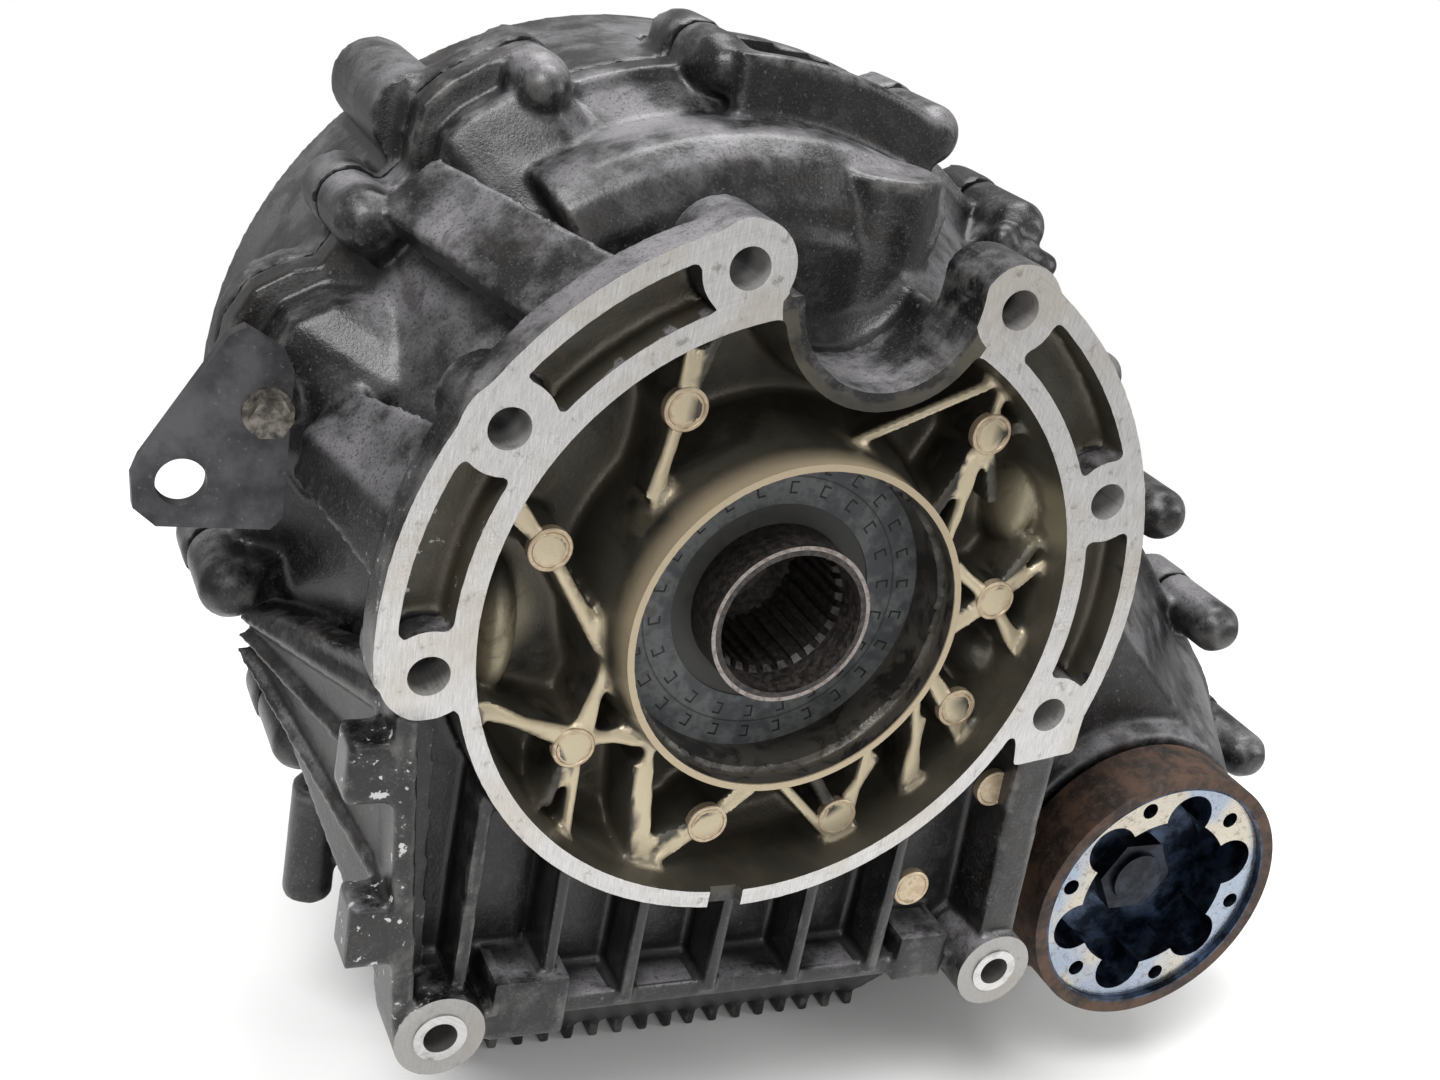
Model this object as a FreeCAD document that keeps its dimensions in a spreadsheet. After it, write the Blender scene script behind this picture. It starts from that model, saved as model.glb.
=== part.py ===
"""Two-speed transfer case: a cast housing with planetary range gears and a chain drive.

Frame: origin on the main axis at the front mating face, X to the side of the front
output, Y rearward along the shafts, Z up.  Millimetres.
"""
import FreeCAD
import Part
import Sketcher
import math
import os

Vector = FreeCAD.Vector
Rotation = FreeCAD.Rotation
Placement = FreeCAD.Placement

# ------------------------------------------------------------------ driving dimensions
SIZES = {
    # bell housing
    "bell_radius": 100.0,
    "bell_rim": 6.0,
    "bell_floor": 34.0,
    "flange_radius": 130.0,
    "flange_depth": 15.0,
    "pocket_outer": 123.5,
    "pocket_depth": 12.0,
    "boss_radius": 14.5,
    "boss_depth": 26.0,
    "bell_hole_radius": 6.4,
    "rib_front": 10.0,
    "rib_width": 4.5,
    "pad_radius": 6.2,
    "pad_circle": 79.0,
    "saddle_radius": 30.0,
    "saddle_x": 12.5,
    "saddle_z": 106.0,
    "wall": 6.0,
    # nose round the input shaft
    "nose_front": 7.8,
    "nose_radius": 56.2,
    "nose_bore": 52.0,
    "nose_base": 64.0,
    "nose_bore_depth": 20.0,
    # main casting
    "split_plane": 120.0,
    "split_lip": 14.0,
    "body_radius": 146.0,
    "lip_grow": 3.0,
    "lobe_radius": 165.0,
    "shield_radius": 157.0,
    "shield_front": 84.0,
    "tower_radius": 10.5,
    "tower_circle": 158.0,
    "sump_floor": 225.0,
    "fin_height": 5.5,
    "fin_width": 4.0,
    "fin_pitch": 10.5,
    "fin_front": 86.0,
    "sump_left": 76.0,
    "sump_right": 124.0,
    "lug_radius": 15.0,
    "lug_bush_radius": 8.8,
    "lug_hole_radius": 5.6,
    "lug_length": 26.0,
    "lug_drop": 146.7,
    "left_lug_x": 93.2,
    "right_lug_x": 116.8,
    # chain case and front output
    "centre_distance": 249.0,
    "chain_drop_angle": 34.1,
    "chain_end_radius": 85.0,
    "snout_front": 50.5,
    "snout_radius": 57.0,
    # rear casting
    "rear_depth": 236.0,
    "rear_corner": 196.0,
    "chain_case_back": 190.0,
    "rear_bore": 50.0,
    "cover_radius": 68.0,
    "cover_flange": 12.0,
    "cover_length": 68.0,
    "cover_nose": 50.0,
    # fasteners
    "bolt_radius": 4.0,
    "bolt_head": 6.6,
    "bolt_head_height": 7.5,
    "bolt_gap": 0.2,
    # input shaft and range gears
    "input_front": 2.0,
    "input_radius": 26.95,
    "input_bore": 23.8,
    "input_journal": 30.0,
    "spline_depth": 1.7,
    "gear_module": 2.5,
    "sun_front": 63.0,
    "gear_width": 24.0,
    "gear_backlash": 0.35,
    "ring_gear_radius": 84.0,
    "pin_radius": 7.0,
    "running_gap": 0.08,
    "end_gap": 0.5,
    # main shaft and shift
    "main_radius": 20.0,
    "sleeve_radius": 34.0,
    "sleeve_travel": 12.0,
    "fork_width": 7.4,
    "rail_radius": 7.0,
    # chain drive
    "sprocket_front": 139.0,
    "sprocket_width": 24.0,
    "sprocket_tip": 58.0,
    "chain_gap": 0.4,
    "chain_height": 9.5,
    # clutch and its actuator
    "clutch_radius": 70.0,
    "sector_radius": 80.0,
    "pinion_radius": 20.0,
    "motor_angle": 60.0,
    "motor_radius": 29.0,
    "motor_length": 62.0,
    # output flanges
    "front_flange_face": 22.5,
    "front_flange_radius": 55.8,
    "front_flange_depth": 27.0,
    "front_flange_lip": 2.6,
    "front_flange_pilot": 50.0,
    "front_hole_circle": 42.6,
    "front_hole_radius": 3.4,
    "scallop_radius": 10.5,
    "scallop_circle": 35.5,
    "cup_radius": 34.0,
    "rear_flange_radius": 52.0,
    "rear_flange_reach": 30.0,
    # left bracket
    "bracket_thickness": 5.0,
    "bracket_face": 72.0,
    "bracket_hole_radius": 7.6,
}

doc = FreeCAD.newDocument("TransferCase")
sheet = doc.addObject("Spreadsheet::Sheet", "Sizes")
for row, name in enumerate(SIZES, 1):
    sheet.set("A%d" % row, name.replace("_", " "))
    sheet.set("B%d" % row, str(SIZES[name]))
    sheet.setAlias("B%d" % row, name)
doc.recompute()


# ------------------------------------------------------------------ sizes that carry their expression
class Size:
    """A number together with the spreadsheet expression that gives it."""

    def __init__(self, number, text):
        self.number = float(number)
        self.text = text

    def __add__(self, other):
        other = as_size(other)
        return Size(self.number + other.number, "(%s + %s)" % (self.text, other.text))

    def __radd__(self, other):
        return as_size(other) + self

    def __sub__(self, other):
        other = as_size(other)
        return Size(self.number - other.number, "(%s - %s)" % (self.text, other.text))

    def __rsub__(self, other):
        return as_size(other) - self

    def __mul__(self, other):
        other = as_size(other)
        return Size(self.number * other.number, "(%s * %s)" % (self.text, other.text))

    def __rmul__(self, other):
        return as_size(other) * self

    def __truediv__(self, other):
        other = as_size(other)
        return Size(self.number / other.number, "(%s / %s)" % (self.text, other.text))

    def __neg__(self):
        return Size(-self.number, "(0 - %s)" % self.text)


def as_size(value):
    if isinstance(value, Size):
        return value
    if value < 0:
        return Size(value, "(0 - %r)" % abs(float(value)))
    return Size(value, "%r" % float(value))


def num(value):
    return value.number if isinstance(value, Size) else float(value)


def cosine(angle):
    angle = as_size(angle)
    return Size(math.cos(math.radians(angle.number)), "cos(%s)" % angle.text)


def sine(angle):
    angle = as_size(angle)
    return Size(math.sin(math.radians(angle.number)), "sin(%s)" % angle.text)


def arc_cosine(ratio):
    ratio = as_size(ratio)
    return Size(math.degrees(math.acos(ratio.number)), "(acos(%s) / 1 deg)" % ratio.text)


class Named:
    pass


S = Named()
for name in SIZES:
    setattr(S, name, Size(sheet.get(name), "Sizes.%s" % name))
S.cover_back = S.rear_depth + S.cover_length
S.rear_flange_back = S.cover_back + S.rear_flange_reach

# ------------------------------------------------------------------ helpers that make bound objects
ALONG_Y = Rotation(Vector(1, 0, 0), -90)
ALONG_X = Rotation(Vector(0, 1, 0), 90)
ALONG_Z = Rotation()
nodes = {}


def bind(obj, path, value):
    if isinstance(value, Size):
        obj.setExpression(path, value.text)


def put(obj, x, y, z, turn=ALONG_Z):
    obj.Placement = Placement(Vector(num(x), num(y), num(z)), turn)
    bind(obj, "Placement.Base.x", x)
    bind(obj, "Placement.Base.y", y)
    bind(obj, "Placement.Base.z", z)
    return obj


def cylinder(name, radius, length, x, y, z, turn=ALONG_Y):
    obj = doc.addObject("Part::Cylinder", name)
    obj.Radius = num(radius)
    obj.Height = num(length)
    bind(obj, "Radius", radius)
    bind(obj, "Height", length)
    return put(obj, x, y, z, turn)


def cone(name, front, back, length, x, y, z):
    obj = doc.addObject("Part::Cone", name)
    obj.Radius1 = num(front)
    obj.Radius2 = num(back)
    obj.Height = num(length)
    bind(obj, "Radius1", front)
    bind(obj, "Radius2", back)
    bind(obj, "Height", length)
    return put(obj, x, y, z, ALONG_Y)


def block(name, x0, x1, y0, y1, z0, z1):
    obj = doc.addObject("Part::Box", name)
    for prop, low, high in (("Length", x0, x1), ("Width", y0, y1), ("Height", z0, z1)):
        span = as_size(high) - low
        setattr(obj, prop, span.number)
        obj.setExpression(prop, span.text)
    return put(obj, x0, y0, z0)


def sector(name, radius, depth, y, start, end):
    """A pie slice of a disc about the main axis, angles from +X towards +Z."""
    obj = cylinder(name, radius, depth, 0, y, 0, ALONG_Y.multiply(Rotation(Vector(0, 0, 1), -end)))
    obj.Angle = end - start
    return obj


def draw(sketch, points):
    """Closed chain of lines through points whose coordinates are bound to the sheet."""
    flat = [Vector(num(u), num(v), 0) for u, v in points]
    count = len(flat)
    for index in range(count):
        sketch.addGeometry(Part.LineSegment(flat[index], flat[(index + 1) % count]), False)
    for index in range(count):
        sketch.addConstraint(Sketcher.Constraint("Coincident", index, 2, (index + 1) % count, 1))
    for index, (u, v) in enumerate(points):
        for kind, axis, value in (("DistanceX", -2, u), ("DistanceY", -1, v)):
            if abs(num(value)) < 1e-9:
                sketch.addConstraint(Sketcher.Constraint("PointOnObject", index, 1, axis))
                continue
            row = sketch.addConstraint(Sketcher.Constraint(kind, -1, 1, index, 1, num(value)))
            bind(sketch, "Constraints[%d]" % row, value)


def free_sketch(name, points, turn, x, y, z):
    sketch = doc.addObject("Sketcher::SketchObject", name)
    put(sketch, x, y, z, turn)
    draw(sketch, points)
    return sketch


FACING = Rotation(Vector(1, 0, 0), 90)


def extruded(name, points, y, depth):
    """A prism along Y from an outline given in X and Z."""
    sketch = free_sketch(name + "_outline", points, FACING, 0, y, 0)
    obj = doc.addObject("Part::Extrusion", name)
    obj.Base = sketch
    obj.DirMode = "Custom"
    obj.Dir = Vector(0, 1, 0)
    obj.LengthFwd = num(depth)
    bind(obj, "LengthFwd", depth)
    obj.Solid = True
    return obj


def side_profile(name, points, x, width):
    """A prism along X from an outline given in Y and Z."""
    turn = Rotation(0.5, 0.5, 0.5, 0.5)
    sketch = free_sketch(name + "_outline", points, turn, x, 0, 0)
    obj = doc.addObject("Part::Extrusion", name)
    obj.Base = sketch
    obj.DirMode = "Custom"
    obj.Dir = Vector(1, 0, 0)
    obj.LengthFwd = num(width)
    bind(obj, "LengthFwd", width)
    obj.Solid = True
    return obj


def loft(name, first, first_y, second, second_y):
    """A ruled solid along Y between two outlines given in X and Z."""
    obj = doc.addObject("Part::Loft", name)
    obj.Sections = [
        free_sketch(name + "_front", first, FACING, 0, first_y, 0),
        free_sketch(name + "_back", second, FACING, 0, second_y, 0),
    ]
    obj.Solid = True
    obj.Ruled = True
    return obj


def turned(name, profile, angle=360.0, start=0.0):
    """A solid of revolution about the main axis from (radius, y) points."""
    sketch = free_sketch(name + "_profile", profile, ALONG_Z, 0, 0, 0)
    obj = doc.addObject("Part::Revolution", name)
    obj.Source = sketch
    obj.Axis = Vector(0, 1, 0)
    obj.Base = Vector(0, 0, 0)
    obj.Angle = angle
    obj.Solid = True
    put(obj, 0, 0, 0, Rotation(Vector(0, 1, 0), -start - angle))
    return obj


def radial_web(name, profile, angle, width):
    """A flat rib standing along a radius, from (radius, y) points."""
    sketch = free_sketch(name + "_profile", profile, Rotation(Vector(0, 1, 0), -angle), 0, 0, 0)
    obj = doc.addObject("Part::Extrusion", name)
    obj.Base = sketch
    obj.DirMode = "Normal"
    obj.LengthFwd = num(width)
    bind(obj, "LengthFwd", width)
    obj.Symmetric = True
    obj.Solid = True
    return obj


def plane(body, role):
    for feature in body.Origin.OriginFeatures:
        if feature.Role == role:
            return feature
    raise ValueError(role)


def turned_body(name, profile, x=0, z=0):
    """A PartDesign body turned about an axis parallel to Y from (radius, y) points."""
    body = doc.addObject("PartDesign::Body", name)
    sketch = body.newObject("Sketcher::SketchObject", name + "_profile")
    sketch.AttachmentSupport = (plane(body, "XY_Plane"), [""])
    sketch.MapMode = "FlatFace"
    draw(sketch, profile)
    feature = body.newObject("PartDesign::Revolution", name + "_turned")
    feature.Profile = sketch
    feature.ReferenceAxis = (sketch, ["V_Axis"])
    feature.Angle = 360.0
    put(body, x, 0, z)
    return body


def bored_pattern(body, name, radius, circle, count, y, depth, phase=0.0):
    """Round pockets on a circle about the body's own Y axis, from y rearward."""
    sketch = body.newObject("Sketcher::SketchObject", name + "_circle")
    sketch.AttachmentSupport = (plane(body, "XZ_Plane"), [""])
    sketch.MapMode = "FlatFace"
    sketch.AttachmentOffset = Placement(Vector(0, 0, -num(y)), Rotation())
    if isinstance(y, Size):
        sketch.setExpression("AttachmentOffset.Base.z", "0 - %s" % y.text)
    u = circle * cosine(phase)
    v = circle * sine(phase)
    sketch.addGeometry(Part.Circle(Vector(u.number, v.number, 0), Vector(0, 0, 1), num(radius)), False)
    row = sketch.addConstraint(Sketcher.Constraint("Radius", 0, num(radius)))
    bind(sketch, "Constraints[%d]" % row, radius)
    for kind, axis, value in (("DistanceX", -2, u), ("DistanceY", -1, v)):
        if abs(value.number) < 1e-6:
            sketch.addConstraint(Sketcher.Constraint("PointOnObject", 0, 3, axis))
            continue
        row = sketch.addConstraint(Sketcher.Constraint(kind, -1, 1, 0, 3, value.number))
        bind(sketch, "Constraints[%d]" % row, value)
    doc.recompute()
    before = body.Shape.Volume
    pocket = body.newObject("PartDesign::Pocket", name)
    pocket.Profile = sketch
    pocket.Length = num(depth)
    bind(pocket, "Length", depth)
    doc.recompute()
    if body.Shape.Volume > before - 1.0:
        pocket.Reversed = True
        doc.recompute()
    if body.Shape.Volume > before - 1.0:
        raise ValueError("pocket %s cuts nothing" % name)
    pattern = body.newObject("PartDesign::PolarPattern", name + "_pattern")
    pattern.Originals = [pocket]
    pattern.Axis = (plane(body, "Y_Axis"), [""])
    pattern.Angle = 360.0
    pattern.Occurrences = count
    body.Tip = pattern
    return pocket


def fuse(name, parts, refine=False):
    obj = doc.addObject("Part::MultiFuse", name)
    obj.Shapes = parts
    obj.Refine = refine
    return obj


def cut(name, base, tool, refine=False):
    obj = doc.addObject("Part::Cut", name)
    obj.Base = base
    obj.Tool = tool
    obj.Refine = refine
    return obj


def group(name, parts):
    obj = doc.addObject("Part::Compound", name)
    obj.Links = parts
    return obj


def feature(name, shape, turn=ALONG_Z, x=0, y=0, z=0):
    obj = doc.addObject("Part::Feature", name)
    obj.Shape = shape
    return put(obj, x, y, z, turn)


def node(name, obj):
    obj.Label = name
    nodes[name] = obj
    return obj


def at(radius, angle):
    """X and Z of a point at a radius and an angle from +X towards +Z."""
    return radius * cosine(angle), radius * sine(angle)


rail_x, rail_z = at(102.0, 135.0)
out_x = S.centre_distance * cosine(S.chain_drop_angle)
out_z = -(S.centre_distance * sine(S.chain_drop_angle))

BELL_HOLES = [
    (-36.5, 111.1),
    (-99.4, 61.5),
    (-112.8, -15.0),
    (55.4, 104.2),
    (107.9, 41.8),
    (108.9, -38.2),
]


# ------------------------------------------------------------------ the case outline
def web(main_radius, end_radius):
    """Four corners of the straight sided web between the two round ends of the chain case."""
    lean = arc_cosine((main_radius - end_radius) / S.centre_distance)
    corners = []
    for side in (1, -1):
        angle = lean * side - S.chain_drop_angle
        ux, uz = cosine(angle), sine(angle)
        near = (main_radius * ux, main_radius * uz)
        far = (out_x + end_radius * ux, out_z + end_radius * uz)
        corners.append((near, far))
    return [corners[0][0], corners[0][1], corners[1][1], corners[1][0]]


def sump_outline(grow):
    """The flat sided lower part of the case, seen along the shafts."""
    left = S.sump_left + grow
    floor = S.sump_floor + grow
    side = S.body_radius + grow
    return [
        (-(side * 0.985), -(side * 0.17)),
        (-left - 52, -(S.lug_drop * 0.5)),
        (-left - 34, -(S.lug_drop * 0.82)),
        (-left - 8, -S.lug_drop - 18),
        (-left + 8, -floor + 20),
        (-left + 18, -floor),
        (out_x, -floor),
        (out_x, out_z),
        (0, 0),
    ]


def case_slab(name, grow, y, depth):
    return [
        cylinder(name + "_main", S.body_radius + grow, depth, 0, y, 0),
        cylinder(name + "_end", S.chain_end_radius + grow, depth, out_x, y, out_z),
        extruded(name + "_web", web(S.body_radius + grow, S.chain_end_radius + grow), y, depth),
        extruded(name + "_sump", sump_outline(grow), y, depth),
    ]


# bolt towers round the main shell: angle, how far outside it and how far in front of the split plane
TOWERS = [
    (117.0, 7.5, 20.0),
    (94.0, 4.0, 20.0),
    (143.0, 5.0, 28.0),
    (64.0, 6.0, 30.0),
    (44.0, 8.0, 30.0),
    (-168.0, 9.5, 28.0),
    (-144.0, 7.5, 30.0),
]
# broad lobes of the split flange: angle and share of the way from the shell to the lobe radius
LOBES = [
    [(111, -0.1), (114, 0.5), (117, 0.95), (121, 1.0), (126, 1.0), (130, 0.9), (133, 0.5), (137, -0.1)],
    [(149, -0.1), (153, 0.5), (157, 0.9), (162, 1.0), (167, 0.9), (172, 0.6), (178, -0.1)],
]
# towers along the top of the web: share of the way to the output end
WEB_TOWERS = [0.27, 0.58, 0.87]
# towers round the output end: angle
END_TOWERS = [13.7, -27.4]
# towers on the left side of the sump: how far outside it, height as a share of the lug drop
SUMP_TOWERS = [(17.0, 1.0, 24.0)]
tower_spots = []
for angle, out, ahead in TOWERS:
    x, z = at(S.body_radius + out, angle)
    tower_spots.append((x, z, ahead))
(x0, z0), (x1, z1) = web(S.body_radius + 9, S.chain_end_radius + 9)[:2]
for share in WEB_TOWERS:
    tower_spots.append((x0 + share * (x1 - x0), z0 + share * (z1 - z0), 34.0))
for angle in END_TOWERS:
    x, z = at(S.chain_end_radius + 6, angle)
    tower_spots.append((out_x + x, out_z + z, 34.0))
for out, share, ahead in SUMP_TOWERS:
    tower_spots.append((-(S.sump_left + out), -(S.lug_drop * share), ahead))

# ------------------------------------------------------------------ front casting
lip_front = S.split_plane - S.split_lip
outer = []
outer.append(cylinder("ring_wall", S.bell_radius + S.bell_rim, S.bell_floor + 10, 0, 0, 0))
outer.append(sector("flange_left", S.flange_radius, S.flange_depth, 0, 108.0, 188.0))
outer.append(sector("flange_right", S.flange_radius, S.flange_depth, 0, -19.5, 62.0))
for number, (x, z) in enumerate(BELL_HOLES, 1):
    outer.append(cylinder("bell_boss_%d" % number, S.boss_radius, S.boss_depth, x, 0, z))
outer.append(turned("front_dome", [
    (0, S.bell_floor - 14),
    (S.bell_radius + 4, S.bell_floor - 14),
    (S.bell_radius + 6, S.bell_floor + 8),
    (S.bell_radius + 15, S.bell_floor + 18),
    (S.bell_radius + 23, S.bell_floor + 32),
    (S.bell_radius + 31, S.bell_floor + 50),
    (S.body_radius - 9, lip_front - 10),
    (S.body_radius, lip_front),
    (S.body_radius, S.split_plane),
    (0, S.split_plane),
]))
outer.append(turned("top_bulge", [
    (S.bell_radius - 8, S.bell_floor + 12),
    (S.bell_radius + 20, S.bell_floor + 15),
    (S.bell_radius + 31, S.bell_floor + 20),
    (S.bell_radius + 37, S.bell_floor + 28),
    (S.bell_radius + 38, S.bell_floor + 40),
    (S.bell_radius + 36, S.bell_floor + 58),
    (S.bell_radius + 35, lip_front),
    (S.bell_radius + 20, lip_front),
], 60.0, 64.0))
outer.append(turned("top_shield", [
    (S.body_radius - 24, S.shield_front),
    (S.shield_radius, S.shield_front),
    (S.shield_radius, S.shield_front + 7),
    (S.body_radius - 24, S.shield_front + 7),
], 32.0, 62.0))
for number, angle in enumerate((64.0, 92.0), 1):
    outer.append(radial_web("shield_end_%d" % number, [
        (S.body_radius - 10, S.shield_front),
        (S.shield_radius, S.shield_front),
        (S.shield_radius, S.split_plane),
        (S.body_radius - 10, S.split_plane),
    ], angle, 7.0))


def lobe_outline(points, inset, core):
    """A lobe of the split flange, drawn inwards by inset and closed at the core radius."""
    reach = S.lobe_radius - S.body_radius
    rim = [at(S.body_radius + reach * share - inset, angle) for angle, share in points]
    return rim + [at(core, points[-1][0]), at(core, points[0][0])]


for number, points in enumerate(LOBES, 1):
    front = lip_front - 30 - 10 * (number - 1)
    outer.append(extruded("lobe_lip_%d" % number, lobe_outline(points, 0, S.bell_radius + 30), lip_front, S.split_lip))
    outer.append(loft("lobe_nose_%d" % number,
                      lobe_outline(points, 38, S.bell_radius - 4), front,
                      lobe_outline(points, 9, S.bell_radius - 4), front + 20))
    outer.append(extruded("lobe_body_%d" % number, lobe_outline(points, 9, S.bell_radius - 4), front + 20,
                          lip_front - front - 19))
outer.append(turned("nose_tube", [
    (0, 0),
    (S.nose_bore + 2, 0),
    (S.nose_bore + 2, -S.nose_front),
    (S.nose_radius, -S.nose_front),
    (S.nose_radius + 0.8, 6),
    (S.nose_base, S.bell_floor),
    (S.nose_base, S.bell_floor + 12),
    (0, S.bell_floor + 12),
]))
outer.append(cylinder("top_boss", 20, 40, 35, S.bell_floor + 30, 90, ALONG_Z))
outer.append(cylinder("top_boss_back", 18, 38, 35, S.bell_floor + 46, 90, ALONG_Z))
outer.extend(case_slab("lip", S.lip_grow, lip_front, S.split_lip))
outer.append(cone("snout", S.snout_radius + 0.8, S.chain_end_radius + 0.8, lip_front - S.snout_front,
                  out_x, S.snout_front, out_z))
outer.append(loft("chain_front", web(S.bell_radius - 2, S.snout_radius), S.bell_floor + 24,
                  web(S.body_radius - 1.2, S.chain_end_radius - 1.2), lip_front + 1.5))
outer.append(side_profile("sump_front", [
    (S.lug_length, -60),
    (S.lug_length, -S.lug_drop),
    (S.fin_front, -S.sump_floor + 3),
    (lip_front, -S.sump_floor),
    (S.split_plane, -S.sump_floor),
    (S.split_plane, -60),
], -S.sump_left + 4, S.sump_left + S.sump_right - 4))
# left side: a block behind the upper boss, an edge rib down to the lug and a gusset back to the flange
plate = S.left_lug_x + 14
outer.append(loft("left_block", [
    (-plate, 56),
    (-plate - 17, 28),
    (-plate - 19, 6),
    (-plate + 12, 6),
], S.flange_depth - 4, [
    (-plate - 18, 46),
    (-plate - 32, 32),
    (-plate - 34, 16),
    (-plate - 4, 16),
], 72))
outer.append(extruded("left_edge", [
    (-plate - 15, 12),
    (-plate - 14, -22),
    (-plate - 1, -S.lug_drop),
    (-plate + 6, -S.lug_drop),
    (-plate - 7, -22),
    (-plate - 8, 12),
], 1.5, S.lug_length + 2))
outer.append(extruded("left_floor", [
    (-plate - 10, 12),
    (-plate - 9, -22),
    (-plate + 4, -S.lug_drop - 8),
    (-62, -S.lug_drop - 8),
    (-62, -60),
    (-80, 12),
], S.lug_length - 2, 8))
outer.append(loft("left_gusset", [
    (-plate - 12, -20),
    (-plate + 1, -S.lug_drop),
    (-plate + 12, -S.lug_drop),
    (-plate + 2, -20),
], S.lug_length - 10, [
    (-plate - 37, -46),
    (-plate - 33, -62),
    (-plate - 23, -60),
    (-plate - 27, -44),
], lip_front))
for number, drop in enumerate((-34, -62, -100), 1):
    outer.append(loft("gusset_rib_%d" % number, [
        (-plate - 17 - 0.1 * drop, drop + 3),
        (-plate - 17 - 0.1 * drop, drop - 3),
        (-plate - 4 - 0.1 * drop, drop - 3),
        (-plate - 4 - 0.1 * drop, drop + 3),
    ], S.lug_length - 8, [
        (-plate - 39, -42 - 6 * number),
        (-plate - 39, -45 - 6 * number),
        (-plate - 26, -45 - 6 * number),
        (-plate - 26, -42 - 6 * number),
    ], lip_front))
for number, (out, low) in enumerate(((25, -60), (19, -119)), 1):
    outer.append(block("side_pad_%d" % number, -plate - out, -plate - out + 16, 3, 20, low, low + 20 + number))
outer.append(cylinder("hanging_boss", 9, 48, -plate - 5, lip_front + 4, -166, ALONG_Z))
outer.append(loft("tower_strut", [
    (-66, 107),
    (-90, 88),
    (-84, 80),
    (-60, 100),
], S.flange_depth - 4, [
    (-102, 114),
    (-120, 97),
    (-113, 88),
    (-95, 105),
], S.split_plane - 28))
outer.append(extruded("right_pad", [(96, -36), (124, -36), (124, -54), (100, -58)], 0, 30))
outer.append(extruded("right_strut", [(104, -50), (120, -54), (124, -146), (110, -146)], 3, S.lug_length + 6))
for side, x in (("left", -S.left_lug_x), ("right", S.right_lug_x)):
    outer.append(cylinder("%s_lug" % side, S.lug_radius, S.lug_length, x, 0, -S.lug_drop))
outer.append(block("bottom_lip", -S.left_lug_x, S.right_lug_x, 9, S.lug_length + 1, -S.lug_drop - 4, -S.lug_drop + 3))
for number, x in enumerate((-87, -57, -27, 4, 36, 68), 1):
    outer.append(block("apron_rib_%d" % number, x - S.rib_width / 2, x + S.rib_width / 2,
                       6, S.lug_length + 1, -S.lug_drop, -60))
outer.append(block("left_foot", -76, -50, 2, S.lug_length + 1, -S.lug_drop - 6, -S.lug_drop + 16))
outer.append(block("right_foot", 78, 98, 6, S.lug_length + 1, -S.lug_drop - 5, -S.lug_drop + 14))
for number, (x, z, ahead) in enumerate(tower_spots, 1):
    outer.append(cylinder("tower_%d" % number, S.tower_radius, ahead, x, S.split_plane - ahead, z))
    outer.append(cone("tower_%d_end" % number, S.tower_radius * 0.55, S.tower_radius, S.tower_radius * 0.6,
                      x, S.split_plane - ahead - S.tower_radius * 0.6, z))
for number, (angle, out, ahead) in enumerate(TOWERS, 1):
    outer.append(radial_web("tower_web_%d" % number, [
        (S.bell_radius + 24, lip_front + 1),
        (S.bell_radius + 30, S.split_plane - ahead + 6),
        (S.body_radius + out - 2, S.split_plane - ahead - 3),
        (S.body_radius + out + 2, lip_front + 1),
    ], angle, S.tower_radius * 1.5))
bracket_x = -S.body_radius - 4
outer.append(cylinder("bracket_boss", 10, S.split_plane - S.bracket_face - S.bracket_thickness,
                      bracket_x, S.bracket_face + S.bracket_thickness, 37))
fin_count = 18
for number in range(fin_count):
    x = number * S.fin_pitch - 62
    outer.append(block("front_fin_%d" % (number + 1), x, x + S.fin_width, S.fin_front, S.split_plane,
                       -S.sump_floor - S.fin_height, -S.sump_floor + 4))
front_solid = fuse("front_outer", outer)

# what is hollow or cut away
saddle_wall = fuse("saddle_wall", [
    cylinder("saddle_wall_run", S.saddle_radius + S.wall, S.bell_floor + 20, S.saddle_x, -1, S.saddle_z),
    cone("saddle_wall_end", S.saddle_radius + S.wall, S.saddle_radius - 12, 8, S.saddle_x, S.bell_floor + 19, S.saddle_z),
])
bell_bowl = cut("bell_bowl", turned("bell_space", [
    (0, -1),
    (S.bell_radius, -1),
    (S.bell_radius, 1),
    (S.bell_radius - 3, S.bell_floor - 6),
    (S.bell_radius - 9, S.bell_floor),
    (0, S.bell_floor),
]), fuse("bell_keep", [
    turned("nose_keep", [
        (0, -2),
        (S.nose_radius, -2),
        (S.nose_radius + 0.8, 6),
        (S.nose_base, S.bell_floor),
        (S.nose_base, S.bell_floor + 1),
        (0, S.bell_floor + 1),
    ]),
    saddle_wall,
]))
bell_void = bell_bowl

# ribs that cross the bell floor, each with a round pad
RIB_PADS = [(-43, 65), (-78, 20), (-60, -48), (-8, -80), (41, -81), (78, -40), (82, 1), (64, 60)]
RIB_RUNS = [
    (-35, 92, -43, 65), (-43, 65, -48, 36),
    (-92, 32, -78, 20), (-78, 20, -56, -14),
    (-92, -32, -60, -48), (-60, -48, -40, -44), (-60, -48, -52, -20), (-60, -48, -66, -70),
    (-36, -56, -32, -92), (-8, -80, -34, -90), (-8, -80, 10, -60),
    (24, -58, 41, -81), (41, -81, 48, -84), (41, -81, 52, -58),
    (66, -44, 66, -72), (78, -40, 62, -24), (78, -40, 86, -48),
    (82, 1, 94, 22), (82, 1, 96, -18), (82, 1, 62, -10), (82, 1, 64, 12),
    (64, 60, 76, 62), (64, 60, 50, 30), (64, 60, 72, 36),
]
ribs = []
for number, (x, z) in enumerate(RIB_PADS, 1):
    ribs.append(cylinder("bell_pad_%d" % number, S.pad_radius, S.bell_floor - S.rib_front + 2, x, S.rib_front, z))
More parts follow.
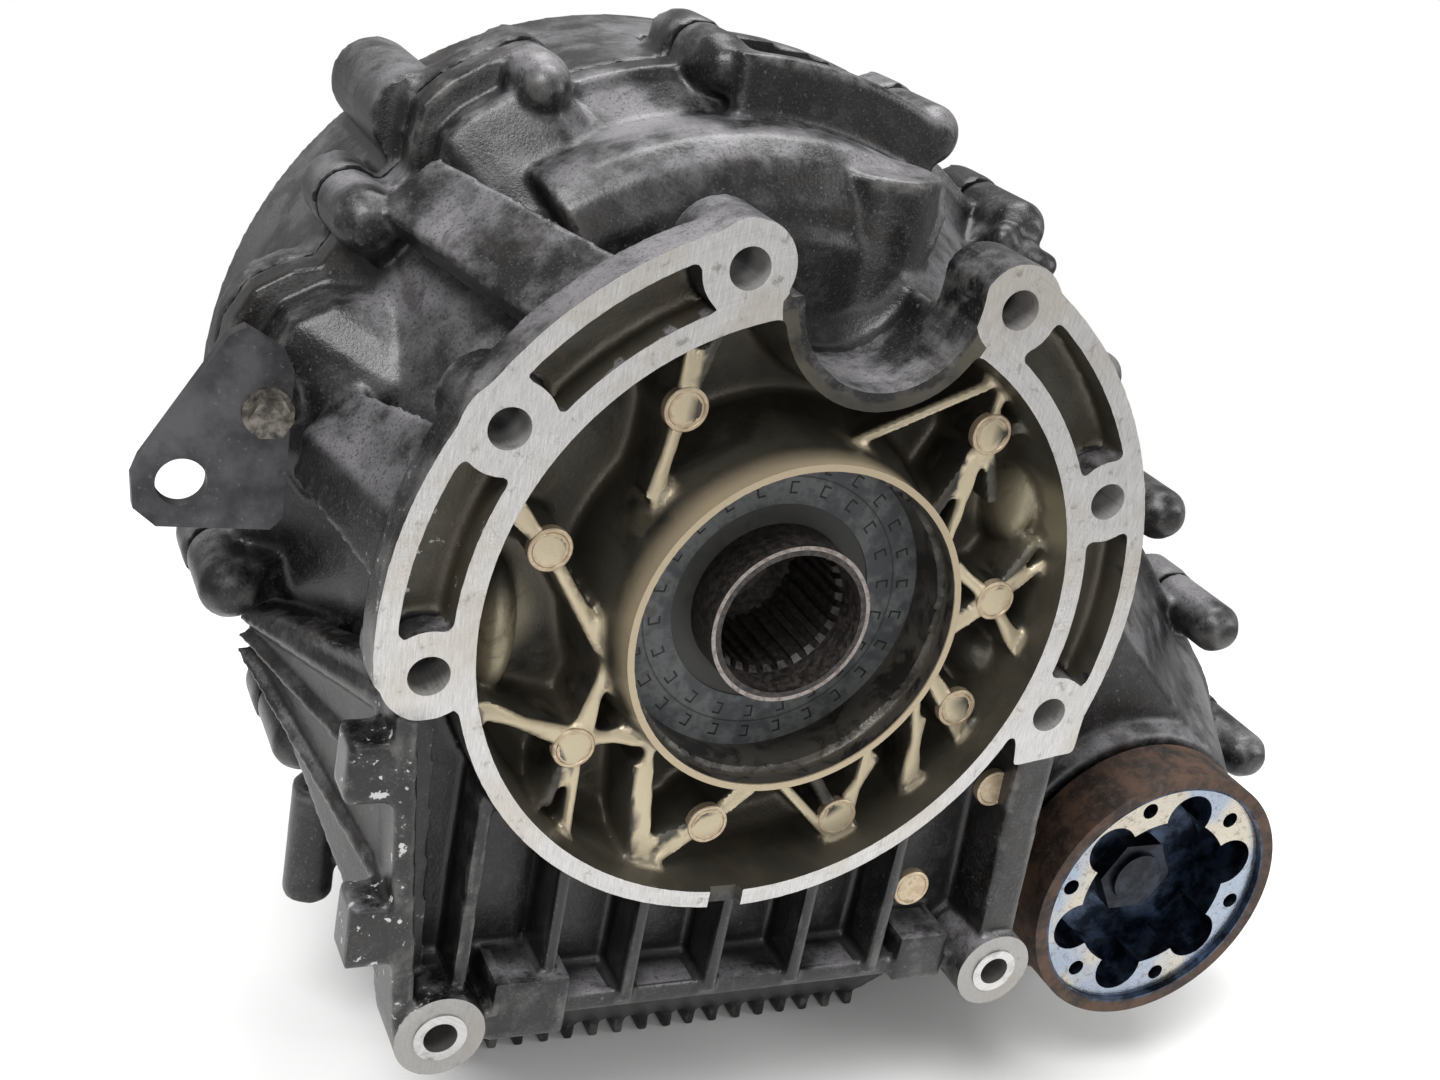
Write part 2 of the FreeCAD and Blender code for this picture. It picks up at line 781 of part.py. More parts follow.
for number, (x0, z0, x1, z1) in enumerate(RIB_RUNS, 1):
    length = math.hypot(x1 - x0, z1 - z0)
    ux, uz = (z1 - z0) / length, (x0 - x1) / length
    half = S.rib_width / 2
    ribs.append(extruded("bell_rib_%d" % number, [
        (x0 + half * ux, z0 + half * uz),
        (x1 + half * ux, z1 + half * uz),
        (x1 - half * ux, z1 - half * uz),
        (x0 - half * ux, z0 - half * uz),
    ], S.rib_front + 1, S.bell_floor - S.rib_front + 1))

pocket_keep = [cylinder("pocket_core", S.bell_radius + 7.5, S.pocket_depth + 4, 0, -2, 0)]
for number, (x, z) in enumerate(BELL_HOLES, 1):
    pocket_keep.append(cylinder("pocket_keep_%d" % number, S.boss_radius, S.pocket_depth + 4, x, -2, z))
pockets = cut("flange_pockets", fuse("pocket_slices", [
    sector("pocket_left", S.pocket_outer, S.pocket_depth + 1, -1, 108.0, 188.0),
    sector("pocket_right", S.pocket_outer, S.pocket_depth + 1, -1, -19.0, 62.0),
]), fuse("pocket_lands", pocket_keep))

saddle = cut("saddle_channel", fuse("saddle_space", [
    cylinder("saddle_run", S.saddle_radius, S.bell_floor + 8, S.saddle_x, -1, S.saddle_z),
    cone("saddle_end", S.saddle_radius, S.saddle_radius - 8, 6, S.saddle_x, S.bell_floor + 6, S.saddle_z),
]), cylinder("saddle_boss_keep", 20.5, 60, 35, S.bell_floor + 30, 80, ALONG_Z))
cavity_parts = [
    turned("front_cavity", [
        (0, S.bell_floor + 9),
        (S.bell_radius - 8, S.bell_floor + 9),
        (S.bell_radius + 6, S.bell_floor + 22),
        (S.bell_radius + 15, S.bell_floor + 36),
        (S.bell_radius + 23, S.bell_floor + 52),
        (S.body_radius - 17, lip_front - 8),
        (S.body_radius - 7, lip_front),
        (S.body_radius - 7, S.split_plane + 1),
        (0, S.split_plane + 1),
    ]),
    cone("snout_cavity", S.snout_radius - 12, S.chain_end_radius - 6.5, S.split_plane - S.snout_front - 23,
         out_x, S.snout_front + 24, out_z),
    loft("chain_cavity", web(S.bell_radius - 14, S.snout_radius - 18), S.bell_floor + 42,
         web(S.body_radius - 10, S.chain_end_radius - 8), S.split_plane + 1),
    side_profile("sump_cavity", [
        (S.lug_length + 20, -80),
        (S.lug_length + 20, -S.lug_drop + 2),
        (S.fin_front + 6, -S.sump_floor + 11),
        (S.split_plane + 1, -S.sump_floor + 7),
        (S.split_plane + 1, -80),
    ], -S.sump_left + 12, S.sump_left + S.sump_right - 20),
]
cavity = cut("front_hollow", fuse("front_hollow_parts", cavity_parts), fuse("front_keep", [
    saddle_wall,
    turned("ring_gear_seat", [
        (S.ring_gear_radius, S.bell_floor),
        (S.ring_gear_radius + 8, S.bell_floor),
        (S.ring_gear_radius + 8, S.sun_front + S.gear_width + 2),
        (S.ring_gear_radius, S.sun_front + S.gear_width + 2),
    ]),
    cylinder("front_rail_boss", S.rail_radius + 5, 42, rail_x, S.bell_floor + 12, rail_z),
]))
bores = [
    cylinder("nose_bore_cut", S.nose_bore, S.nose_bore_depth + S.nose_front + 1, 0, -S.nose_front - 1, 0),
    cylinder("input_bearing_seat", 47.5, 30, 0, 19, 0),
    cylinder("input_through", S.input_journal + 8, 40, 0, 20, 0),
    cylinder("front_rail_bore", S.rail_radius + S.running_gap, 30, rail_x, S.bell_floor + 26, rail_z),
    cylinder("front_bearing_seat", 36, 40, out_x, S.snout_front + 10, out_z),
    cylinder("front_seal_seat", 36, 13, out_x, S.snout_front - 1, out_z),
]
for number, (x, z) in enumerate(BELL_HOLES, 1):
    bores.append(cylinder("bell_hole_%d" % number, S.bell_hole_radius, S.boss_depth + 4, x, -2, z))
for side, x in (("left", -S.left_lug_x), ("right", S.right_lug_x)):
    bores.append(cylinder("%s_lug_bore" % side, S.lug_bush_radius, S.lug_length + 2, x, -1, -S.lug_drop))
for number, (x, z, ahead) in enumerate(tower_spots, 1):
    bores.append(cylinder("tower_bore_%d" % number, S.bolt_radius + S.bolt_gap, 27, x, S.split_plane - 26, z))
bores.append(cylinder("bracket_bore", S.bolt_radius + S.bolt_gap, 20, bracket_x, S.bracket_face + 4, 37))
removed = fuse("front_removed", [bell_void, pockets, saddle, cavity] + bores)
hollow_front = cut("front_hollowed", front_solid, removed)
front_ribs = cut("front_ribs", fuse("rib_set", ribs), fuse("rib_trim", [
    turned("rib_outside", [
        (S.bell_radius - 1, 0),
        (S.bell_radius + 40, 0),
        (S.bell_radius + 40, S.bell_floor + 4),
        (S.bell_radius - 1, S.bell_floor + 4),
    ]),
    cylinder("rib_inside", S.nose_bore + 1, S.bell_floor + 8, 0, -1, 0),
]))
node("front_case", fuse("front_case_body", [hollow_front, front_ribs], True))

# ------------------------------------------------------------------ rear casting
rear_wall = S.wall + 2
rear_lip = S.split_plane + 12
rear_outer = case_slab("rear_lip", S.lip_grow, S.split_plane, 12)
rear_outer.append(turned("rear_dome", [
    (0, S.split_plane),
    (S.body_radius + 3, S.split_plane),
    (S.body_radius + 3, S.rear_corner),
    (S.body_radius - 8, S.rear_corner + 16),
    (S.body_radius - 44, S.rear_depth - 4),
    (S.body_radius - 62, S.rear_depth),
    (0, S.rear_depth),
]))
rear_outer.append(cylinder("rear_end", S.chain_end_radius, S.chain_case_back - 22 - S.split_plane,
                           out_x, S.split_plane, out_z))
rear_outer.append(cone("rear_end_taper", S.chain_end_radius, S.chain_end_radius - 26, 22,
                       out_x, S.chain_case_back - 22, out_z))
rear_outer.append(loft("rear_web", web(S.body_radius, S.chain_end_radius), S.split_plane,
                       web(S.body_radius - 30, S.chain_end_radius - 26), S.chain_case_back))
rear_outer.append(side_profile("rear_sump", [
    (S.split_plane, -60),
    (S.split_plane, -S.sump_floor),
    (S.rear_corner + 4, -S.sump_floor),
    (S.rear_corner + 22, -S.sump_floor + 20),
    (S.rear_corner + 22, -60),
], -S.sump_left + 26, S.sump_left + S.sump_right - 26))
rear_outer.append(side_profile("rear_sump_side", [
    (S.split_plane, -60),
    (S.split_plane, -S.sump_floor),
    (S.chain_case_back - 12, -S.sump_floor),
    (S.chain_case_back, -S.sump_floor + 14),
    (S.chain_case_back, -60),
], 0, out_x))
for number in range(fin_count):
    x = number * S.fin_pitch - 62
    rear_outer.append(block("rear_fin_%d" % (number + 1), x, x + S.fin_width, S.split_plane, S.rear_corner + 2,
                            -S.sump_floor - S.fin_height, -S.sump_floor + 4))
for number, (x, z, ahead) in enumerate(tower_spots, 1):
    rear_outer.append(cylinder("rear_boss_%d" % number, S.tower_radius + 1, 20, x, S.split_plane, z))
for number, points in enumerate(LOBES, 1):
    rear_outer.append(extruded("rear_lobe_%d" % number, lobe_outline(points, 0, S.bell_radius + 30),
                               S.split_plane, 12))
boss_x, boss_z = at(S.body_radius + 8, 130.5)
rear_outer.append(cylinder("rear_tall_boss", 15, 62, boss_x, S.split_plane + 4, boss_z))
rear_outer.append(cone("rear_tall_boss_end", 15, 9, 8, boss_x, S.split_plane + 66, boss_z))
rear_outer.append(sector("rear_rim_slab", S.shield_radius, 9, S.split_plane, 62.0, 94.0))
for number, angle in enumerate((10, 30, 92, 112, 150, 172, 196), 1):
    rear_outer.append(radial_web("rear_rib_%d" % number, [
        (S.cover_radius, S.rear_depth - 8),
        (S.cover_radius + 2, S.rear_depth + 5),
        (S.body_radius - 40, S.rear_depth + 1),
        (S.body_radius - 2, S.rear_corner + 14),
        (S.body_radius - 12, S.rear_corner),
    ], angle, 6.0))
motor_distance = S.sector_radius + S.pinion_radius
motor_x, motor_z = at(motor_distance, S.motor_angle)
rear_outer.append(cylinder("motor_pad", S.motor_radius + 2.5, 38, motor_x, S.rear_depth - 36, motor_z))
rear_hollow_parts = fuse("rear_hollow_parts", [
    turned("rear_cavity", [
        (0, S.split_plane - 1),
        (S.body_radius - 7, S.split_plane - 1),
        (S.body_radius - 6, S.rear_corner - 2),
        (S.body_radius - 18, S.rear_corner + 12),
        (S.body_radius - 48, S.rear_depth - 9),
        (0, S.rear_depth - 9),
    ]),
    cylinder("rear_end_cavity", S.chain_end_radius - 7, S.chain_case_back - 30 - S.split_plane,
             out_x, S.split_plane - 1, out_z),
    cone("rear_end_cavity_taper", S.chain_end_radius - 7, S.chain_end_radius - 24, 14,
         out_x, S.chain_case_back - 32, out_z),
    loft("rear_web_cavity", web(S.body_radius - 10, S.chain_end_radius - 8), S.split_plane - 1,
         web(S.body_radius - 30, S.chain_end_radius - 22), S.chain_case_back - 14),
    side_profile("rear_sump_cavity", [
        (S.split_plane - 1, -80),
        (S.split_plane - 1, -S.sump_floor + 7),
        (S.rear_corner + 2, -S.sump_floor + 7),
        (S.rear_corner + 14, -S.sump_floor + 22),
        (S.rear_corner + 14, -80),
    ], -S.sump_left + 34, S.sump_left + S.sump_right - 42),
])
rear_hollow = cut("rear_hollow", rear_hollow_parts, fuse("rear_keep", [
    cylinder("rear_output_boss", 37, 26, out_x, S.chain_case_back - 24, out_z),
    cylinder("rear_rail_boss", S.rail_radius + 5, 40, rail_x, S.rear_depth - 40, rail_z),
    cylinder("drain_boss", 15, 12, 40, S.rear_corner + 8, -190),
    cylinder("motor_keep", S.pinion_radius + 9, 30, motor_x, S.rear_depth - 15, motor_z),
]))
rear_bores = [
    rear_hollow,
    cylinder("rear_cover_bore", S.rear_bore, 20, 0, S.rear_depth - 12, 0),
    cylinder("rear_output_bearing_seat", 31, 20, out_x, S.chain_case_back - 24, out_z),
    cylinder("motor_shaft_bore", 7.5 + S.running_gap, 40, motor_x, S.rear_depth - 30, motor_z),
    cylinder("pinion_pocket", S.pinion_radius + 4, 20, motor_x, S.rear_depth - 28, motor_z),
    cylinder("rear_rail_bore", S.rail_radius + S.running_gap, 30, rail_x, S.rear_depth - 41, rail_z),
    cylinder("filler_bore", 9, 30, 168, S.chain_case_back - 18, -76),
    cylinder("drain_bore", 9, 30, 40, S.rear_corner + 8, -190),
    cylinder("breather_bore", 4, 30, -30, S.rear_depth - 24, 95),
]
for number, (x, z, ahead) in enumerate(tower_spots, 1):
    rear_bores.append(cylinder("rear_bolt_hole_%d" % number, S.bolt_radius + S.bolt_gap, 24, x, S.split_plane - 1, z))
    rear_bores.append(cylinder("rear_spotface_%d" % number, S.bolt_head + 2, 16, x, S.split_plane + 20, z))
cover_bolts = []
for number in range(6):
    x, z = at(S.cover_radius - 9, 60.0 * number + 30)
    rear_bores.append(cylinder("cover_tap_%d" % (number + 1), S.bolt_radius + S.bolt_gap, 9, x, S.rear_depth - 8, z))
node("rear_case", cut("rear_case_body", fuse("rear_solid", rear_outer + [
    cylinder("drain_face", 15, 18, 40, S.rear_corner + 8, -190),
    cylinder("filler_face", 15, 22, 168, S.chain_case_back - 18, -76),
]), fuse("rear_removed", rear_bores), True))

# ------------------------------------------------------------------ rear cover
node("rear_cover", cut("rear_cover_body", fuse("rear_cover_solid", [
    turned_body("rear_cover_shell", [
        (S.rear_bore - 5, S.rear_depth - 8),
        (S.rear_bore - 0.1, S.rear_depth - 8),
        (S.rear_bore - 0.1, S.rear_depth),
        (S.cover_radius, S.rear_depth),
        (S.cover_radius, S.rear_depth + S.cover_flange),
        (S.cover_nose + 4, S.rear_depth + S.cover_flange + 3),
        (S.cover_nose, S.cover_back - 6),
        (S.cover_nose - 4, S.cover_back),
        (36, S.cover_back),
        (36, S.cover_back - 10),
        (34, S.cover_back - 10),
        (34, S.cover_back - 12),
        (40, S.cover_back - 12),
        (40, S.cover_back - 32),
        (S.rear_bore - 5, S.cover_back - 36),
    ]),
] + [
    radial_web("cover_rib_%d" % (number + 1), [
        (S.cover_nose - 3, S.rear_depth + S.cover_flange - 1),
        (S.cover_nose - 3, S.cover_back - 12),
        (S.cover_nose + 2, S.cover_back - 12),
        (S.cover_radius - 4, S.rear_depth + S.cover_flange - 1),
    ], 60.0 * number, 6.0)
    for number in range(6)
]), fuse("cover_holes", [
    cylinder("cover_hole_%d" % (number + 1), S.bolt_radius + S.bolt_gap, 30,
             at(S.cover_radius - 9, 60.0 * number + 30)[0], S.rear_depth - 4,
             at(S.cover_radius - 9, 60.0 * number + 30)[1])
    for number in range(6)
] + [
    cylinder("cover_spotface_%d" % (number + 1), S.bolt_head + 1.5, 30,
             at(S.cover_radius - 9, 60.0 * number + 30)[0], S.rear_depth + S.cover_flange,
             at(S.cover_radius - 9, 60.0 * number + 30)[1])
    for number in range(6)
])))


def hex_bolt(name, x, y, z, length, head_behind=True):
    """A flanged hexagon bolt along Y whose head seats at y."""
    flats = S.bolt_head * 0.92
    points = [(x + flats * 1.12 * cosine(60 * k), z + flats * 1.12 * sine(60 * k)) for k in range(6)]
    if head_behind:
        shank = cylinder(name + "_shank", S.bolt_radius, length, x, y - length, z)
        flange = cylinder(name + "_flange", S.bolt_head + 1.2, 1.8, x, y, z)
        head = extruded(name + "_head", points, y + 1.8, S.bolt_head_height - 1.8)
    else:
        shank = cylinder(name + "_shank", S.bolt_radius, length, x, y, z)
        flange = cylinder(name + "_flange", S.bolt_head + 1.2, 1.8, x, y - 1.8, z)
        head = extruded(name + "_head", points, y - S.bolt_head_height, S.bolt_head_height - 1.8)
    return fuse(name, [shank, flange, head])


node("case_bolts", group("case_bolt_set", [
    hex_bolt("case_bolt_%d" % number, x, S.split_plane + 20, z, 40)
    for number, (x, z, ahead) in enumerate(tower_spots, 1)
]))
node("cover_bolts", group("cover_bolt_set", [
    hex_bolt("cover_bolt_%d" % (number + 1), at(S.cover_radius - 9, 60.0 * number + 30)[0],
             S.rear_depth + S.cover_flange, at(S.cover_radius - 9, 60.0 * number + 30)[1], 18)
    for number in range(6)
]))


# ------------------------------------------------------------------ bushes, bracket and plugs
def ring_profile(inner, outer, y0, y1):
    return [(inner, y0), (outer, y0), (outer, y1), (inner, y1)]


for side, x in (("left", -S.left_lug_x), ("right", S.right_lug_x)):
    node("%s_lug_bush" % side, turned_body("%s_lug_bush_body" % side, ring_profile(
        S.lug_hole_radius, S.lug_bush_radius, -0.6, S.lug_length), x, -S.lug_drop))

bracket_back = S.bracket_face + S.bracket_thickness
node("side_bracket", cut("side_bracket_body", extruded("side_bracket_plate", [
    (bracket_x - 13, 60),
    (bracket_x - 8, 63),
    (bracket_x + 4, 56),
    (bracket_x + 7, 50),
    (bracket_x + 7.5, 2),
    (bracket_x + 4, -2),
    (bracket_x - 30, -1),
    (bracket_x - 37, 5),
    (bracket_x - 38, 15),
    (bracket_x - 36, 21),
], S.bracket_face, S.bracket_thickness), fuse("side_bracket_cuts", [
    cylinder("side_bracket_hole", S.bracket_hole_radius, 20, bracket_x - 23.5, S.bracket_face - 5, 13.5),
    cylinder("side_bracket_bolt_hole", S.bolt_radius + S.bolt_gap, 20, bracket_x, S.bracket_face - 5, 37),
])))
node("bracket_bolt", hex_bolt("bracket_bolt_body", bracket_x, S.bracket_face, 37, 20, False))
node("drain_plug", turned_body("drain_plug_body", [
    (0, S.rear_corner + 12), (8.8, S.rear_corner + 12), (8.8, S.rear_corner + 26), (13, S.rear_corner + 26),
    (13, S.rear_corner + 32), (5, S.rear_corner + 32), (5, S.rear_corner + 28), (0, S.rear_corner + 28),
], 40, -190))
node("filler_plug", turned_body("filler_plug_body", [
    (0, S.chain_case_back - 10), (8.8, S.chain_case_back - 10), (8.8, S.chain_case_back + 4),
    (13, S.chain_case_back + 4), (13, S.chain_case_back + 10), (5, S.chain_case_back + 10),
    (5, S.chain_case_back + 6), (0, S.chain_case_back + 6),
], 168, -76))
node("breather", turned_body("breather_body", [
    (0, S.rear_depth - 20), (3.9, S.rear_depth - 20), (3.9, S.rear_depth + 14), (7, S.rear_depth + 16),
    (7, S.rear_depth + 24), (0, S.rear_depth + 24),
], -30, 95))


# ------------------------------------------------------------------ gear outlines
def involute(angle):
    return math.tan(angle) - angle


def gear_points(teeth, module, add, root, thin, phase):
    """Outline of a gear: add and root as distances from the pitch circle, thin off each tooth."""
    pitch = teeth * module / 2.0
    base = pitch * math.cos(math.radians(20))
    half = math.pi / (2 * teeth) - thin / (2 * pitch)
    flank = []
    for radius in (pitch - root, max(base, pitch - root * 0.55), pitch, pitch + add):
        roll = math.acos(min(1.0, base / radius)) if radius > base else 0.0
        flank.append((radius, half + involute(math.radians(20)) - involute(roll)))
    points = []
    for tooth in range(teeth):
        middle = 2 * math.pi * tooth / teeth + math.radians(phase)
        for radius, lean in flank:
            points.append((radius, middle - lean))
        for radius, lean in reversed(flank):
            points.append((radius, middle + lean))
    return points


def tooth_slab(name, points, y, width, x=0, z=0):
    """Extrude an outline of (radius, angle) points along Y."""
    corners = [Vector(radius * math.cos(turn), 0, radius * math.sin(turn)) for radius, turn in points]
    face = Part.Face(Part.makePolygon(corners + [corners[0]]))
    return feature(name, face.extrude(Vector(0, num(width), 0)), ALONG_Z, x, y, z)


SUN_TEETH = 30
PLANET_TEETH = 14
RING_TEETH = SUN_TEETH + 2 * PLANET_TEETH
module = num(S.gear_module)
backlash = num(S.gear_backlash)
carrier_radius = S.gear_module * (SUN_TEETH + PLANET_TEETH) / 2
sun_back = S.sun_front + S.gear_width


def spline_points(count, inner, outer, phase=0.0, share=0.5):
    """Straight sided grooves: (radius, angle) points that alternate between two radii."""
    points = []
    for groove in range(count):
        middle = 2 * math.pi * groove / count + math.radians(phase)
        half = math.pi / count * share
        points.append((inner, middle - half * 1.25))
        points.append((outer, middle - half * 0.85))
        points.append((outer, middle + half * 0.85))
        points.append((inner, middle + half * 1.25))
    return points


# ------------------------------------------------------------------ input shaft with the sun gear
input_core = turned_body("input_core", [
    (S.input_bore, -S.input_front),
    (S.input_radius, -S.input_front),
    (S.input_radius, 17),
    (S.input_journal, 19),
    (S.input_journal, 53),
    (S.input_journal + 4, 54),
    (S.input_journal + 4, sun_back + 1),
    (27.6, sun_back + 1),
    (27.6, S.sun_front + 4),
    (10.08, S.sun_front + 3),
    (10.08, 52),
    (18, 51),
    (S.input_bore - S.spline_depth, 46),
    (S.input_bore - S.spline_depth, 13),
    (S.input_bore, 11),
])
sun_outline = gear_points(SUN_TEETH, module, 0.8 * module, 1.2 * module, backlash, 0.0)
sun_blank = cut("sun_teeth", tooth_slab("sun_outline", sun_outline, S.sun_front, S.gear_width),
                cylinder("sun_core", S.input_journal + 2, S.gear_width + 2, 0, S.sun_front - 1, 0))
spline_low = num(S.input_bore) - num(S.spline_depth) - 1
node("input_shaft", cut("input_shaft_body", fuse("input_shaft_solid", [input_core, sun_blank]),
                        tooth_slab("input_splines", spline_points(28, spline_low, num(S.input_bore)), 8, 38.5)))

# ------------------------------------------------------------------ planets, carrier and ring gear
node("ring_gear", cut("ring_gear_body",
                      cylinder("ring_gear_blank", S.ring_gear_radius, S.gear_width + 4, 0, S.sun_front - 2, 0),
                      tooth_slab("ring_gear_space", gear_points(
                          RING_TEETH, module, 1.2 * module, 0.8 * module, -backlash, 180.0 / RING_TEETH),
                          S.sun_front - 4, S.gear_width + 8)))
pin_spots = [at(carrier_radius, 90.0 * number) for number in range(4)]
for number, (x, z) in enumerate(pin_spots, 1):
    position = 90.0 * (number - 1)
    sun_step = 360.0 / SUN_TEETH
    offset = (-position) % sun_step
    phase = position + 180.0 - SUN_TEETH / PLANET_TEETH * offset + 180.0 / PLANET_TEETH
    outline = gear_points(PLANET_TEETH, module, 0.8 * module, 1.2 * module, backlash, phase)
    node("planet_gear_%d" % number, cut(
        "planet_%d_body" % number,
        tooth_slab("planet_%d_teeth" % number, outline, S.sun_front, S.gear_width, x, z),
        cylinder("planet_%d_bore" % number, S.pin_radius + S.running_gap, S.gear_width + 4, x, S.sun_front - 2, z)))
carrier_front = S.sun_front - S.end_gap - 6
carrier_back = sun_back + S.end_gap
node("planet_pins", group("planet_pin_set", [
    cylinder("planet_pin_%d" % number, S.pin_radius, carrier_back - carrier_front + 6, x, carrier_front, z)
    for number, (x, z) in enumerate(pin_spots, 1)
]))
bridges = [
    cylinder("carrier_bridge_%d" % (number + 1), 5.5, carrier_back - carrier_front,
             at(carrier_radius + 2, 90.0 * number + 45)[0], carrier_front,
             at(carrier_radius + 2, 90.0 * number + 45)[1])
    for number in range(4)
]
node("planet_carrier", cut("carrier_body", fuse("carrier_solid", [
    turned_body("carrier_plates", ring_profile(44, 67, carrier_front, carrier_front + 6)),
    turned_body("carrier_drum", [
        (47, carrier_back), (67, carrier_back), (67, carrier_back + 6), (54, carrier_back + 7),
        (54, carrier_back + 20), (45.5, carrier_back + 20), (45.5, carrier_back + 12), (47, carrier_back + 12),
    ]),
] + bridges), fuse("carrier_bores", [
    cylinder("carrier_bore_%d" % number, S.pin_radius, 60, x, carrier_front - 5, z)
    for number, (x, z) in enumerate(pin_spots, 1)
] + [tooth_slab("carrier_dogs", spline_points(36, 45.0, 47.0), carrier_back + 11, 12)])))

# ------------------------------------------------------------------ shift sleeve, fork and rail
sleeve_front = carrier_back + 1.5
fork_front = S.split_plane - 6
sleeve_ring = turned_body("sleeve_ring", [
    (S.main_radius + 0.25, sleeve_front),
    (45.0, sleeve_front),
    (45.0, sleeve_front + 5),
    (S.sleeve_radius - 4, sleeve_front + 5),
    (S.sleeve_radius - 4, fork_front - 5),
    (S.sleeve_radius + 4, fork_front - 5),
    (S.sleeve_radius + 4, fork_front - S.end_gap),
    (S.sleeve_radius - 4, fork_front - S.end_gap),
    (S.sleeve_radius - 4, fork_front + S.fork_width + S.end_gap),
    (S.sleeve_radius + 4, fork_front + S.fork_width + S.end_gap),
    (S.sleeve_radius + 4, fork_front + S.fork_width + 4.5),
    (S.main_radius + 0.25, fork_front + S.fork_width + 4.5),
])
node("shift_sleeve", cut("shift_sleeve_body", sleeve_ring, tooth_slab(
    "sleeve_grooves", spline_points(24, num(S.main_radius) - 0.4, num(S.main_radius) + 1.7),
    sleeve_front - 1, S.fork_width + 42)))
node("shift_rail", cylinder("shift_rail_body", S.rail_radius, 146, rail_x, S.bell_floor + 32, rail_z))
node("shift_fork", cut("shift_fork_body", fuse("shift_fork_solid", [
    turned("fork_claw", ring_profile(S.sleeve_radius - 3.6, S.sleeve_radius + 12, fork_front,
                                     fork_front + S.fork_width), 200.0, 35.0),
    radial_web("fork_arm", ring_profile(S.sleeve_radius + 6, 98, fork_front, fork_front + S.fork_width),
               135.0, 20.0),
    cylinder("fork_hub", S.rail_radius + 6, 18, rail_x, fork_front - 5, rail_z),
]), cylinder("fork_bore", S.rail_radius, 30, rail_x, fork_front - 10, rail_z)))

# ------------------------------------------------------------------ main shaft, chain drive and clutch
sprocket_back = S.sprocket_front + S.sprocket_width
rear_journal = S.cover_back - 32
node("main_shaft", fuse("main_shaft_body", [
    turned_body("main_shaft_core", [
        (0, 52.6),
        (10, 52.6),
        (10, S.sun_front + 5),
        (S.main_radius, S.sun_front + 7),
        (S.main_radius, S.sprocket_front - 0.5),
        (22, S.sprocket_front),
        (22, sprocket_back),
        (25, sprocket_back + 2),
        (25, S.rear_depth - 22),
        (S.main_radius, S.rear_depth - 21),
        (S.main_radius, rear_journal - 1),
        (17.5, rear_journal),
        (17.5, rear_journal + 21),
        (15, rear_journal + 21),
        (15, S.rear_flange_back - 3.8),
        (12, S.rear_flange_back - 3.8),
        (12, S.rear_flange_back + 5),
        (0, S.rear_flange_back + 5),
    ]),
    tooth_slab("main_splines", spline_points(24, num(S.main_radius) - 0.6, num(S.main_radius) + 1.4, 0.0, 0.42),
               sleeve_front - 1, 48),
]))
node("diff_case", turned_body("diff_case_body", [
    (25, sprocket_back + 2), (44, sprocket_back + 2), (52, sprocket_back + 7), (52, sprocket_back + 20),
    (44, sprocket_back + 24), (25, sprocket_back + 24),
]))
sprocket_outline = spline_points(36, num(S.sprocket_tip) - 6, num(S.sprocket_tip), 0.0, 0.42)
for label, x, z in (("drive_sprocket", 0, 0), ("driven_sprocket", out_x, out_z)):
    node(label, cut(label + "_body", tooth_slab(label + "_teeth", sprocket_outline, S.sprocket_front,
                                                S.sprocket_width, x, z),
                    cylinder(label + "_bore", 22, S.sprocket_width + 2, x, S.sprocket_front - 1, z)))
chain_in = S.sprocket_tip + S.chain_gap
chain_out = chain_in + S.chain_height
chain_y = S.sprocket_front + 1
chain_width = S.sprocket_width - 2


def loop(name, radius, y, depth):
    return fuse(name, [
        cylinder(name + "_near", radius, depth, 0, y, 0),
        cylinder(name + "_far", radius, depth, out_x, y, out_z),
        extruded(name + "_run", web(radius, radius), y, depth),
    ])


node("drive_chain", cut("drive_chain_body", loop("chain_outside", chain_out, chain_y, chain_width),
                        loop("chain_inside", chain_in, chain_y - 1, chain_width + 2)))
drum_front = sprocket_back + 26
drum_back = S.rear_depth - 22
node("clutch_drum", turned_body("clutch_drum_body", [
    (25, drum_front), (S.clutch_radius, drum_front), (S.clutch_radius, drum_back),
    (S.clutch_radius - 4, drum_back), (S.clutch_radius - 4, drum_front + 4), (25, drum_front + 4),
]))
node("clutch_plates", group("clutch_plate_set", [
    turned_body("clutch_plate_%d" % (number + 1), ring_profile(
        42 + 4 * (number % 2), S.clutch_radius - 4.3, drum_back - 20.7 + 3.2 * number,
        drum_back - 17.8 + 3.2 * number))
    for number in range(6)
]))
ramp_front = drum_back + 0.5
sector_teeth = 80
sector_module = 2.0 * num(S.sector_radius) / sector_teeth
pinion_teeth = 20
sector_gear = doc.addObject("Part::MultiCommon", "sector_gear")
sector_gear.Shapes = [
    tooth_slab("sector_teeth", gear_points(sector_teeth, sector_module, 0.8 * sector_module, 1.2 * sector_module,
                                           backlash, num(S.motor_angle)), ramp_front, 6),
    sector("sector_wedge", S.sector_radius + 8, 6, ramp_front, 52.0, 98.0),
]
node("ramp_ring", cut("ramp_ring_body", fuse("ramp_ring_solid", [
    turned_body("ramp_ring_core", ring_profile(32, 64, ramp_front, ramp_front + 6)),
    sector_gear,
]), cylinder("ramp_ring_bore", 32, 10, 0, ramp_front - 2, 0)))
node("ramp_plate", turned_body("ramp_plate_body", ring_profile(
    32, 60, ramp_front + 6.3, S.rear_depth - 9)))
